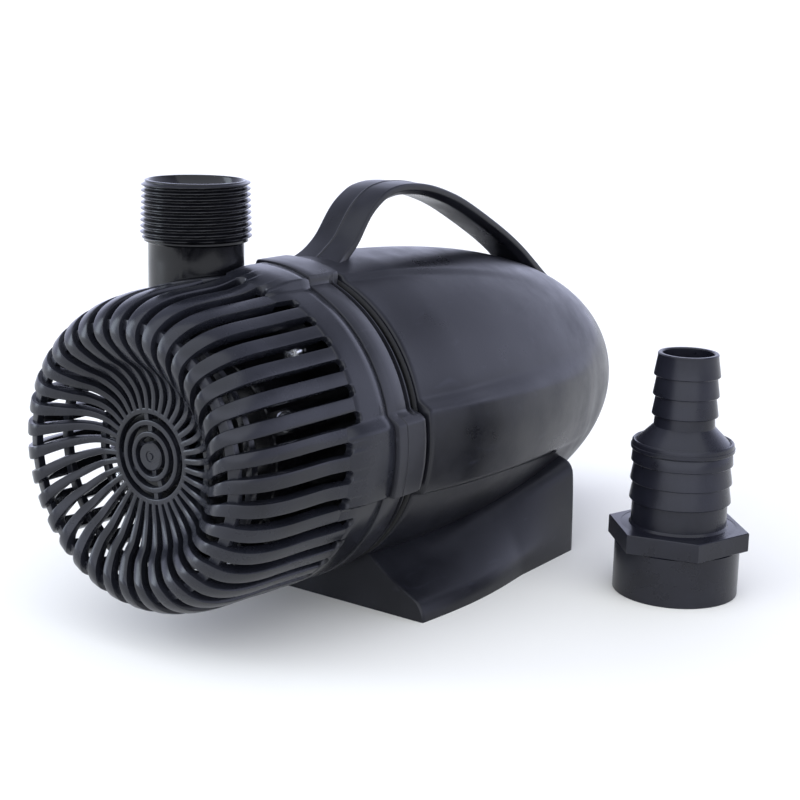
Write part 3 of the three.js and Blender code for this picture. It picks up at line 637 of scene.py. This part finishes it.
def ring_profile(front, side, top):
    """The ring's section: a band, a groove with a thin lip in it, and blocks that fill the groove."""
    radius = RING_RADIUS + side + top
    depth = 2.0 * (1 - min(1.0, (side + top) / 2.4))
    groove = radius - depth
    lip = radius - 0.2 * depth
    seam = 0.35 * min(1.0, side / 2.4)
    return [(RING_BORE, front), (radius - 0.7, front), (radius - 0.2, front + 0.2), (radius, front + 0.8),
            (radius, -15.3), (radius - seam, -15.1), (radius - seam, -14.8), (radius, -14.6),
            (radius, -8.8), (radius - 0.15 * depth, -8.3), (groove, -8.0), (groove, -6.1), (lip, -5.9),
            (lip, -5.5), (groove, -5.3), (groove, -5.0), (groove - 1.4 * seam, -4.9),
            (groove - 1.4 * seam, RING_REAR - 0.5), (groove - 0.4 - seam, RING_REAR),
            (RING_BORE, RING_REAR)]


def build_ring():
    """The mounting ring with its blocks and its inner flange, and the seal behind it."""
    shape = Shape()
    sections = []
    for angle in np.linspace(0, 360, RING_STEPS, endpoint=False):
        a = math.radians(angle)
        x, z = RING_RADIUS * math.cos(a), RING_RADIUS * math.sin(a)
        front = RING_FRONT
        dx = abs(x - OUTLET_X)
        clear = PIPE_RADIUS + 0.6
        if z > 0 and dx < clear:
            front = max(front, OUTLET_Y + math.sqrt(clear**2 - dx**2))
        profile = [(r, max(y, front)) for r, y in ring_profile(front, *block_heights(angle))]
        sections.append([polar(r, angle, y) for r, y in profile])
    shape.loop(sections)
    flange = [(21.5, -16.4), (58, -16.4), (58, -12.4), (21.5, -12.4)]
    shape.turned(flange, 120)
    piece = shape.make("ring_moulding", RING, "pump_body")
    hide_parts("mounting_ring")

    seal = Shape()
    lip = rounded([(57.8, -2.3), (60.2, -2.3), (61.3, -1.7), (61.3, -1.0), (60.2, -0.3), (57.8, -0.3)], 0.3)
    seal.turned(lip, 180)
    piece = seal.make("seal_lip", RUBBER, "pump_body")
    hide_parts("casing_seal")


# ---------- rear casing ----------


def dome_size(size, y, straight, exponent):
    """A size along the casing: full up to a station, then closing to nothing at the rear pole."""
    t = np.clip((y - straight) / (CASING_REAR - straight), 0, 1)
    return size * (1 - t**exponent) ** (1 / exponent)


def casing_radius(degrees, y):
    """Outer radius of the casing about its own centre line, with the side bulges and the top pad."""
    swell = RING_RADIUS / CASING_RADIUS + (1 - RING_RADIUS / CASING_RADIUS) * smoothstep(y, 0, 33)
    base = dome_size(CASING_RADIUS, y, CASING_STRAIGHT, DOME_EXPONENT) * swell
    wide = dome_size(CASING_BULGE, y, 33.0, 2.2) * (0.975 + 0.025 * smoothstep(y, 0, 33))
    a = np.radians(degrees)
    z = base * np.sin(a)
    soften = 1 + 2.6 * smoothstep(y, 10, 140)
    side = smoothstep(z, -20.6 - 0.8 * soften, -19.4 + 0.4 * soften)
    side = side * (1 - smoothstep(z, 12.0 - 0.8 * soften, 14.8 + 1.6 * soften))
    extra = np.maximum(0, wide - base) * side
    x = np.abs(base * np.cos(a))
    edge = 22 + 11 * np.clip(y / 126, 0, 1)
    pad = (1 - smoothstep(x, edge - 0.8 * soften, edge + 0.8 * soften)) * (np.sin(a) > 0)
    pad_top = 1.3 * (1 - smoothstep(y, 40, 150))
    return base + extra + pad * pad_top


def casing_point(radius, degrees, y):
    """A point about the casing's own centre line, which falls slightly towards the rear."""
    a = math.radians(degrees)
    drop = CASING_DROP * y / CASING_REAR
    return pump(radius * math.cos(a), y, radius * math.sin(a) - drop)


def casing_stations():
    """Stations along the casing, closer together at the front edge and at the rear pole."""
    front = [0.0, 0.25, 0.8, 2.5]
    straight = list(np.linspace(6, CASING_STRAIGHT, 14))
    arc = [CASING_STRAIGHT + (CASING_REAR - CASING_STRAIGHT) * math.sin(a)
           for a in np.linspace(0, math.pi / 2, 70)[1:-1]]
    return front + straight + arc


def build_casing_shell():
    """The casing as a hollow shell, open at the front, with an inner and an outer rear pole."""
    columns = CASING_STEPS
    degrees = np.linspace(0, 360, columns, endpoint=False)
    points = []
    stations = casing_stations()
    inner_stations = [y for y in stations if y < CASING_REAR - CASING_WALL - 0.5]
    inner_size = CASING_RADIUS - CASING_WALL - 1.0
    for y in reversed(inner_stations):
        stretched = y * CASING_REAR / (CASING_REAR - CASING_WALL)
        inner = max(2.0, dome_size(inner_size, stretched, CASING_STRAIGHT, DOME_EXPONENT))
        points.extend(casing_point(inner, d, y) for d in degrees)
    for y in stations:
        ease = 0.6 * max(0.0, 1 - y / 0.8) ** 2
        radii = casing_radius(degrees, y) - ease
        points.extend(casing_point(r, d, y) for r, d in zip(radii, degrees))
    rows = len(inner_stations) + len(stations)
    faces = strip_faces(rows, columns)
    inner_pole = len(points)
    points.append(casing_point(0, 0, CASING_REAR - CASING_WALL))
    outer_pole = len(points)
    points.append(casing_point(0, 0, CASING_REAR))
    for c in range(columns):
        faces.append((inner_pole, (c + 1) % columns, c))
        last = (rows - 1) * columns
        faces.append((outer_pole, last + c, last + (c + 1) % columns))
    piece = add_mesh("casing_shell", points, faces, SHELL, "pump_body", 60)
    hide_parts("rear_casing")


def build_handle():
    """A flat strap that rises steeply at the front, arches over the casing and runs down to its rear."""
    top = [(5, 131), (9.5, 133.2), (15.5, 136.6), (23, 142), (32.4, 152.6), (42, 158.8), (50, 160.9),
           (58.8, 161.4), (72, 160.2), (86, 156.8), (102, 151), (127, 139), (145, 129), (160, 118.8),
           (170, 111.4), (180, 104)]
    line, tangent = spline(top, 90)
    shape = Shape()
    sections = []
    for i, ((y, z), (ty, tz)) in enumerate(zip(line, tangent)):
        along = i / (len(line) - 1)
        flare = 2.5 * float(1 - smoothstep(along, 0.0, 0.07)) + 1.5 * float(smoothstep(along, 0.9, 1.0))
        half = 10.5 + flare
        thick = 4.8 + 1.4 * float(1 - smoothstep(along, 0.02, 0.16))
        thick += 1.2 * float(smoothstep(along, 0.8, 1.0))
        edge = thick - 2.2
        outline = rounded([(-half + 3.4, -thick), (half - 3.4, -thick), (half, -edge), (half, 0.0),
                           (-half, 0.0), (-half, -edge)], 0.8, 4)
        middle = next(k for k, point in enumerate(outline) if point[1] == 0.0 and point[0] < half - 1.0)
        outline[middle:middle] = [(1.0, 0.0), (0.3, 0.0), (0.0, 0.25), (-0.3, 0.0), (-1.0, 0.0)]
        section = []
        for u, v in outline:
            crown = 0.35 * (1 - (u / half) ** 2) if v > -thick / 2 else 0.0
            section.append(pump(u, y - tz * (v + crown), z + ty * (v + crown) - AXIS_Z))
        sections.append(section)
    shape.loft(sections)
    shape.make("carry_handle", SHELL, "pump_body", 60)


# Outlines of one side of the foot as [half-width, height] at its front and rear ends.
FOOT_FRONT = spline([(64.2, 0.0), (63.9, 3.0), (61.8, 6.8), (57.8, 9.2), (52.0, 12.4), (45.5, 16.2),
                     (36.0, 23.4)], FOOT_LEVELS)[0]
FOOT_REAR = spline([(61.3, 0.0), (61.2, 10.0), (60.9, 24.0), (60.5, 33.0), (59.9, 37.0), (57.2, 40.4),
                    (48.0, 43.2)], FOOT_LEVELS)[0]


def foot_edge(along, level):
    """Half-width and height of the foot's side at a station, 0 at the front, and a level above the floor."""
    blend = along**1.5
    point = FOOT_FRONT[level] * (1 - blend) + FOOT_REAR[level] * blend
    swell = 2.3 * math.sin(math.pi * min(1.0, along * 1.6)) * float(1 - smoothstep(level, 6, 16))
    return point[0] + max(0.0, swell), point[1]


def build_foot():
    """The foot: flared at the front, upright at the rear, and the same on both sides."""
    shape = Shape()
    sections = []
    for along in np.concatenate([[0, 0.003], np.linspace(0.015, 0.985, 48), [0.997, 1.0]]):
        y = FOOT_LENGTH * along
        ease = 0.6 if along in (0, 1.0) else 0.0
        right = [foot_edge(along, level) for level in range(FOOT_LEVELS)]
        section = [pump(x - ease, y, z - AXIS_Z) for x, z in right]
        section += [pump(-x + ease, y, z - AXIS_Z) for x, z in reversed(right)]
        sections.append(section)
    shape.loft(sections)
    shape.make("foot_moulding", SHELL, "pump_body", 60)


# ---------- volute, outlet and pump wheel ----------

COVER_SCREWS = [f"cover_screw_{i}" for i in (1, 2, 3, 4)]
MOTOR_SCREWS = [f"motor_screw_{i}" for i in (1, 2, 3, 4)]
CASING_SCREWS = [f"casing_screw_{i}" for i in (1, 2, 3, 4)]


def thread_radius(angle, z, low, high):
    """Radius of a pipe thread's helix at an angle (in turns) and a height, fading at both ends."""
    phase = ((z - low) / THREAD_PITCH - angle) % 1.0
    wave = 1 - abs(2 * phase - 1)
    wave = min(1.0, max(0.0, (wave - 0.12) / 0.76))
    fade = float(smoothstep(z, low - 0.4, low + 1.2) * (1 - smoothstep(z, high - 0.7, high - 0.05)))
    crest = THREAD_RADIUS + (high - z) / 32
    return crest - THREAD_DEPTH + THREAD_DEPTH * wave * fade


def build_outlet():
    """The upright outlet pipe with its male thread and its bore."""
    high = OUTLET_TOP
    low = high - THREAD_TURNS * THREAD_PITCH
    columns = 144
    heights = [AXIS_Z + 34, low - 8, low - 1.6, low - 1.2, low - 0.7]
    radii = [PIPE_RADIUS, PIPE_RADIUS, PIPE_RADIUS, PIPE_RADIUS + 0.2, None]
    heights += list(np.linspace(low - 0.4, high - 0.12, THREAD_ROWS))
    radii += [None] * THREAD_ROWS
    tail = [(high, THREAD_RADIUS - 1.9), (high, 18.0), (high - 0.5, 17.5), (high - 6, 17.3),
            (high - 30, PIPE_BORE), (AXIS_Z + 33, PIPE_BORE)]
    points = []
    for height, radius in list(zip(heights, radii)) + tail:
        for c in range(columns):
            a = TAU * c / columns
            r = thread_radius(c / columns, height, low, high) if radius is None else radius
            x = AXIS_X + OUTLET_X + r * math.cos(a)
            y = FRONT_Y + OUTLET_Y + r * math.sin(a)
            points.append((x * MM, y * MM, height * MM))
    rows = len(heights) + len(tail)
    faces = strip_faces(rows, columns, wrap_rows=True)
    return add_mesh("outlet_pipe", points, faces, PIPE, "pump_body", 55)


def screw_axis(node):
    """The x and z of a screw's axis, and the y of the tip of its head."""
    low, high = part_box(node)
    return (low.x + high.x) / 2 / MM - AXIS_X, (low.z + high.z) / 2 / MM - AXIS_Z, low.y / MM - FRONT_Y


def volute_outline(inset, count=80):
    """The chamber's outline: a spiral that grows towards the outlet, closed across the foot of the pipe."""
    outline = []
    for i in range(count + 1):
        t = i / count
        radius = 36 + 8 * t - inset
        a = math.radians(80 - 260 * t)
        outline.append((radius * math.cos(a), radius * math.sin(a)))
    outline.append((OUTLET_X - PIPE_RADIUS + inset, 38.0))
    outline.append((OUTLET_X + PIPE_RADIUS - inset, 38.0))
    return outline


def build_volute():
    """The pump chamber: the outlet pipe, a spiral drum with a closed back, and the cover."""
    pipe = build_outlet()
    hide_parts("volute_casing")
    shape = Shape()
    outer = volute_outline(0)
    inner = volute_outline(2.8)
    sections = []
    for outline, y in ((inner, -23.0), (inner, VOLUTE_FACE), (outer, VOLUTE_FACE), (outer, -20.2)):
        sections.append([pump(x, y, z) for x, z in outline])
    shape.loft(sections)
    back = [(30, -22.8), (48.6, -22.8), (49, -22.3), (49, -16.8), (40.6, -16.8), (40.6, -20.1), (30, -20.1)]
    shape.turned(back, 120)
    for node in MOTOR_SCREWS:
        x, z, tip = screw_axis(node)
        add_post(shape, x, z, 5.0, tip + 2.9, -16.8)
    for node in COVER_SCREWS:
        x, z, _ = screw_axis(node)
        add_post(shape, x, z, 4.7, -53.3, -39.5)
        add_web(shape, math.degrees(math.atan2(z, x)), 32, math.hypot(x, z), -53.2, -39.8)
    shape.make("volute_drum", PIPE, "pump_body")
    build_volute_cover()


def build_volute_cover():
    """The front cover with the intake eye in its middle."""
    cover = Shape()
    sections = []
    for y, inset in ((COVER_REAR, 0.2), (COVER_FRONT + 0.5, 0.2), (COVER_FRONT, 0.7)):
        sections.append([pump(x, y, z) for x, z in volute_outline(inset)])
    angles = [math.atan2(z, x) for x, z in volute_outline(0.2)]
    for y in (COVER_FRONT, COVER_REAR):
        sections.append(circle(0, 0, EYE_RADIUS, y, angles))
    cover.loop(sections)
    cover.turned(rounded([(15.6, -61.8), (18, -61.8), (18.6, -56.6), (15.6, -56.6)], 0.5), 96)
    for node in COVER_SCREWS:
        x, z, _ = screw_axis(node)
        add_post(cover, x, z, 4.6, COVER_FRONT, COVER_REAR)
        add_web(cover, math.degrees(math.atan2(z, x)), 32, math.hypot(x, z), -56.7, -53.9)
    piece = cover.make("volute_front_cover", PIPE, "pump_body")
    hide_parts("volute_cover")


def add_post(shape, x, z, radius, front, rear, steps=32):
    """A round post along Y for a screw, with softened ends."""
    angles = np.linspace(0, TAU, steps, endpoint=False)
    ends = ((radius - 0.4, front), (radius, front + 0.4), (radius, rear - 0.1), (radius - 0.1, rear))
    shape.loft([circle(x, z, r, y, angles) for r, y in ends])


def add_web(shape, angle, inner, outer, front, rear):
    """A radial block that ties a screw post to the chamber."""
    a = math.radians(angle)
    along = Vector((math.cos(a), math.sin(a)))
    side = Vector((-math.sin(a), math.cos(a))) * 4.4
    corners = [along * inner - side, along * outer - side, along * outer + side, along * inner + side]
    shape.loft([[pump(c.x, y, c.y) for c in corners] for y in (front, rear)])


def build_impeller():
    """The pump wheel: a back plate, a hub and swept blades."""
    shape = Shape()
    shape.turned(rounded([(3.2, -31), (28, -31), (28, -28.5), (3.2, -28.5)], 0.4), 120)
    hub = [(3.2, -52), (4.6, -52), (5.6, -51.2), (7, -46), (7.4, -32), (9, -30.5), (7, -28.4), (7, -22),
           (3.2, -22)]
    shape.turned(hub, 72)
    for index in range(BLADE_COUNT):
        start = TAU * index / BLADE_COUNT
        sections = []
        for t in np.linspace(0, 1, 22):
            radius = 5.8 + 21.8 * t
            a = start + math.radians(55) * t
            tip = -50.8 + 3.0 * float(smoothstep(radius, 22, 28))
            thick = 1.3 - 0.45 * t
            section = []
            for side, y in ((-thick, -30), (thick, -30), (thick, tip + 0.5), (thick * 0.5, tip),
                            (-thick * 0.5, tip), (-thick, tip + 0.5)):
                b = a + side / radius
                section.append(pump(radius * math.cos(b), y, radius * math.sin(b)))
            sections.append(section)
        shape.loft(sections)
    piece = shape.make("pump_wheel", WHEEL, "rotor")
    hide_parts("impeller")


# ---------- cable gland ----------


def turned_about(shape, x, z, profile, steps=64):
    """A closed [radius, y] outline turned about a line along Y through (x, z)."""
    sections = []
    for a in np.linspace(0, TAU, steps, endpoint=False):
        sections.append([pump(x + r * math.cos(a), y, z + r * math.sin(a)) for r, y in profile])
    shape.loop(sections)


def build_gland():
    """The gland where the cord would leave: a boss on the casing, a threaded body and a hexagonal nut."""
    low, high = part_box("cable_gland_nut")
    x = (low.x + high.x) / 2 / MM - AXIS_X
    z = (low.z + high.z) / 2 / MM - AXIS_Z
    front = low.y / MM - FRONT_Y
    rear = high.y / MM - FRONT_Y

    boss = Shape()
    profile = [(6.9, 185), (12.5, 185), (11.2, 192), (10.6, 198), (10.5, front - 1), (9.9, front - 0.4),
               (6.9, front - 0.4)]
    turned_about(boss, x, z, profile)
    boss.make("gland_boss", SHELL, "pump_body", 45)

    body = Shape()
    profile = [(4.2, front - 16), (6.4, front - 16), (6.4, front)]
    for turn in range(5):
        profile += [(6.0, front + 0.2 + 1.6 * turn), (6.4, front + 1.0 + 1.6 * turn)]
    profile += [(5.8, front + 8.6), (4.2, front + 8.6)]
    turned_about(body, x, z, profile)
    piece = body.make("gland_threaded_body", PIPE, "pump_body", 30)
    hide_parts("cable_gland_body")

    nut = Shape()
    sections = []
    for corner, y in ((8.6, front), (9.2, front + 0.7), (9.2, rear - 4.2), (8.7, rear - 3.6)):
        sections.append(hex_ring(x, z, corner, y))
    for radius, y in ((8.0, rear - 3.2), (7.2, rear - 0.8), (6.2, rear), (4.6, rear), (4.4, rear - 0.4),
                      (4.4, front + 9.2), (6.9, front + 9.2), (6.9, front)):
        sections.append(circle(x, z, radius, y, hex_angles()))
    nut.loop(sections)
    piece = nut.make("gland_nut_moulding", PIPE, "pump_body", 30)
    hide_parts("cable_gland_nut")


def hex_angles():
    """Angles of the points of a hexagonal ring, in radians."""
    return np.linspace(0, TAU, 72, endpoint=False)


def hex_ring(x, z, corner, y):
    """A hexagon about a line along Y, given its corner radius."""
    ring = []
    for a in hex_angles():
        r = corner * math.cos(math.pi / 6) / math.cos((a % (TAU / 6)) - math.pi / 6)
        ring.append(pump(x + r * math.cos(a), y, z + r * math.sin(a)))
    return ring


# ---------- screws ----------


def build_screw(node, body):
    """A pan-head screw with a cross recess and a real helical thread, in the place of its CAD node."""
    low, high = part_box(node)
    x = (low.x + high.x) / 2 / MM - AXIS_X
    z = (low.z + high.z) / 2 / MM - AXIS_Z
    seat = low.y / MM - FRONT_Y + SCREW_HEAD
    length = (high.y - low.y) / MM - SCREW_HEAD
    shape = Shape()
    angles = np.linspace(0, TAU, 48, endpoint=False)
    head = []
    for r, y in ((4.0, 0.0), (4.0, -1.1), (3.7, -1.9), (3.0, -2.4), (2.0, -SCREW_HEAD)):
        head.append(circle(x, z, r, seat + y, angles))
    for scale, depth in ((1.0, -SCREW_HEAD), (0.86, -1.0)):
        recess = []
        for a in angles:
            r = 1.9 if abs(math.sin(2 * a)) < 0.42 else 0.95
            recess.append(pump(x + r * scale * math.cos(a), seat + depth, z + r * scale * math.sin(a)))
        head.append(recess)
    shape.loft(head)
    rows = []
    for y in np.arange(0.0, length, SCREW_PITCH / 6):
        taper = min(1.0, (length - y) / 1.2)
        ring = []
        for c in range(20):
            phase = (y / SCREW_PITCH - c / 20) % 1.0
            r = (1.62 + 0.38 * (1 - abs(2 * phase - 1))) * (0.55 + 0.45 * taper)
            a = TAU * c / 20
            ring.append(pump(x + r * math.cos(a), seat + y, z + r * math.sin(a)))
        rows.append(ring)
    shape.loft(rows)
    piece = shape.make(node + "_steel", STEEL, body, 30)
    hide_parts(node)


# ---------- hose adapter ----------


def adapter_sections(profile, steps=120):
    """Rings of points round the adapter's upright axis for a [radius, z] profile."""
    sections = []
    for r, z in profile:
        sections.append([((ADAPTER_X + r * math.cos(a)) * MM, (ADAPTER_Y + r * math.sin(a)) * MM, z * MM)
                         for a in np.linspace(0, TAU, steps, endpoint=False)])
    return sections


def barb_profile(root, crest, low, high, count):
    """A row of hose barbs, each sharp below and tapering upwards."""
    step = (high - low) / count
    points = []
    for i in range(count):
        z = low + i * step
        points += [(root, z), (crest - 0.25, z + 0.05), (crest, z + 0.35), (crest - 0.1, z + 1.2),
                   (root + 0.1, z + step - 0.1)]
    return points


def build_adapter():
    """The hose adapter: a threaded socket, a hexagon, large barbs, a rim, a cone and small barbs."""
    outer = [(21.4, 0.0), (25.2, 0.0), (25.5, 0.3), (25.5, 20.0), (24.4, 20.4), (24.4, 27.8), (20.2, 28.2),
             (19.5, 29.2), (19.3, 38.5)]
    outer += barb_profile(19.3, 20.6, 38.6, 54.4, 2)
    outer += [(19.3, 54.4), (20.35, 54.45), (20.6, 54.75), (20.5, 55.6), (20.2, 59.2), (20.0, 59.5)]
    outer += [(20.8, 59.8), (21.0, 60.1), (21.0, 61.3), (20.7, 61.5), (20.7, 61.9), (20.5, 63.0),
              (20.0, 63.5), (19.5, 63.4), (19.1, 62.9), (13.4, 68.6), (12.4, 69.6)]
    outer += barb_profile(12.1, 13.4, 74.0, 98.3, 3)
    outer += [(12.3, ADAPTER_HEIGHT - 0.5), (11.9, ADAPTER_HEIGHT), (10.8, ADAPTER_HEIGHT),
              (10.4, ADAPTER_HEIGHT - 0.5)]
    bore = [(10.4, 68.0), (16.4, 62.0), (16.4, 21.0), (19.6, 18.4)]
    bore += [(20.4 if i % 2 else 21.4, 17.6 - i * 1.1) for i in range(14)]
    shape = Shape()
    shape.loop(adapter_sections(outer + bore))
    rings = ((HEX_CORNER - 0.35, HEX_LOW), (HEX_CORNER, HEX_LOW + 0.3),
             (HEX_CORNER, HEX_HIGH - 0.3), (HEX_CORNER - 0.35, HEX_HIGH))
    sections = [adapter_hexagon(size, z) for size, z in rings]
    sections += [adapter_hexagon(HEX_BORE, z, flat=False) for z in (HEX_HIGH, HEX_LOW)]
    shape.loop(sections)
    piece = shape.make("adapter_moulding", FITTING, "adapter", 30)
    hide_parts("hose_adapter")


def adapter_hexagon(size, z, flat=True):
    """A hexagon round the adapter, or a circle with the same number of points."""
    ring = []
    for a in np.linspace(0, TAU, 120, endpoint=False):
        reach = size
        if flat:
            reach *= math.cos(math.pi / 6) / math.cos((a % (TAU / 6)) - math.pi / 6)
        b = a + math.radians(HEX_TURN)
        ring.append(((ADAPTER_X + reach * math.cos(b)) * MM, (ADAPTER_Y + reach * math.sin(b)) * MM, z * MM))
    return ring


# ---------- camera, floor and light ----------


def build_camera():
    """A camera in front of the pump and to its right, slightly above it."""
    azimuth = math.radians(CAMERA_AZIMUTH)
    elevation = math.radians(CAMERA_ELEVATION)
    roll = math.radians(CAMERA_ROLL)
    back = Vector((math.sin(azimuth) * math.cos(elevation), -math.cos(azimuth) * math.cos(elevation),
                   math.sin(elevation)))
    right = (-back).cross(Vector((0, 0, 1))).normalized()
    up = right.cross(-back).normalized()
    turned_right = right * math.cos(roll) + up * math.sin(roll)
    turned_up = up * math.cos(roll) - right * math.sin(roll)
    data = bpy.data.cameras.new("photo_camera")
    data.sensor_width = 36.0
    data.lens = CAMERA_LENS
    data.clip_start, data.clip_end = 0.02, 60.0
    camera = bpy.data.objects.new("photo_camera", data)
    camera.matrix_world = Matrix((
        (turned_right.x, turned_up.x, back.x, CAMERA_PLACE[0]),
        (turned_right.y, turned_up.y, back.y, CAMERA_PLACE[1] + FRONT_Y * MM),
        (turned_right.z, turned_up.z, back.z, CAMERA_PLACE[2]),
        (0, 0, 0, 1),
    ))
    bpy.context.scene.collection.objects.link(camera)
    bpy.context.scene.camera = camera


def area_light(name, place, target, size, power, colour):
    """A rectangular soft light that faces a target."""
    data = bpy.data.lights.new(name, "AREA")
    data.shape = "RECTANGLE"
    data.size, data.size_y = size
    data.energy = power
    data.color = colour
    lamp = bpy.data.objects.new(name, data)
    lamp.location = place
    lamp.rotation_mode = "QUATERNION"
    lamp.rotation_quaternion = (Vector(target) - Vector(place)).to_track_quat("-Z", "Y")
    bpy.context.scene.collection.objects.link(lamp)


def dimmer(nodes, links, value, start, end, full, dim):
    """A smooth fall in brightness, from full at the start of a range of values to dim at its end."""
    node = nodes.new("ShaderNodeMapRange")
    node.interpolation_type = "SMOOTHSTEP"
    node.inputs["From Min"].default_value = start
    node.inputs["From Max"].default_value = end
    node.inputs["To Min"].default_value = full
    node.inputs["To Max"].default_value = dim
    links.new(value, node.inputs["Value"])
    return node.outputs["Result"]


def build_world():
    """A pale room that is brightest behind the pump, softer behind the camera and overhead."""
    world = bpy.data.worlds.new("studio")
    world.use_nodes = True
    nodes = world.node_tree.nodes
    links = world.node_tree.links
    place = nodes.new("ShaderNodeTexCoord")
    facing = nodes.new("ShaderNodeVectorMath")
    facing.operation = "DOT_PRODUCT"
    facing.inputs[1].default_value = (0.59, -0.81, 0.0)
    links.new(place.outputs["Generated"], facing.inputs[0])
    around = dimmer(nodes, links, facing.outputs["Value"], -0.35, 0.65, 1.45, 0.92)
    split = nodes.new("ShaderNodeSeparateXYZ")
    links.new(place.outputs["Generated"], split.inputs[0])
    overhead = dimmer(nodes, links, split.outputs["Z"], 0.32, 0.65, 1.0, 0.35)
    strength = nodes.new("ShaderNodeMath")
    strength.operation = "MULTIPLY"
    links.new(around, strength.inputs[0])
    links.new(overhead, strength.inputs[1])
    background = nodes["Background"]
    background.inputs["Color"].default_value = (0.96, 1.01, 1.32, 1)
    links.new(strength.outputs["Value"], background.inputs["Strength"])
    bpy.context.scene.world = world


def build_floor():
    """A plain pale floor."""
    mesh = bpy.data.meshes.new("studio_floor")
    half = FLOOR_HALF
    corners = [(-half, -half, 0), (half, -half, 0), (half, half, 0), (-half, half, 0)]
    mesh.from_pydata(corners, [], [(0, 1, 2, 3)])
    floor = bpy.data.objects.new("studio_floor", mesh)
    material = bpy.data.materials.new("pale_floor")
    material.use_nodes = True
    shader = material.node_tree.nodes["Principled BSDF"]
    shader.inputs["Base Color"].default_value = (0.94, 0.92, 0.84, 1)
    shader.inputs["Roughness"].default_value = 0.8
    mesh.materials.append(material)
    bpy.context.scene.collection.objects.link(floor)


def build_lights():
    """A broad soft light overhead, from the front and the right, and a weak softbox on the left."""
    sky = bpy.data.lights.new("soft_overhead", "SUN")
    sky.energy = 2.7
    sky.angle = math.radians(110)
    sky.color = (0.93, 0.97, 1.0)
    lamp = bpy.data.objects.new("soft_overhead", sky)
    lamp.rotation_euler = (math.radians(38), math.radians(24), 0)
    bpy.context.scene.collection.objects.link(lamp)
    area_light("left_softbox", (-1.2, -1.1, 0.6), (0, -0.1, 0.08), (0.6, 1.3), 12, (0.8, 0.9, 1.0))


# ---------- assembly ----------

NODE_LOOKS = {
    "volute_seal": RUBBER,
    "front_bush": CERAMIC,
    "front_bearing_bracket": PIPE,
    "rear_bush": CERAMIC,
    "rear_bush_holder": RUBBER,
    "rotor_well": PIPE,
    "stator_core": LAMINATION,
    "stator_winding": COPPER,
    "potting_resin": RESIN,
    "motor_can": STEEL,
    "rotor_shaft": STEEL,
    "rotor_core": STEEL,
    "thrust_washer_front": CERAMIC,
    "thrust_washer_rear": CERAMIC,
}


def paint_nodes():
    """Gives each CAD node that is kept its material."""
    for name, material in NODE_LOOKS.items():
        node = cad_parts[name]
        node.data.materials.clear()
        node.data.materials.append(material)


build_camera()
bpy.context.scene.view_settings.view_transform = "Standard"
build_world()
build_floor()
build_lights()
paint_nodes()
build_cage()
build_ring()
build_casing_shell()
build_handle()
build_foot()
build_volute()
build_impeller()
build_gland()
for screw_name in COVER_SCREWS + MOTOR_SCREWS + CASING_SCREWS:
    build_screw(screw_name, "pump_body")
build_adapter()
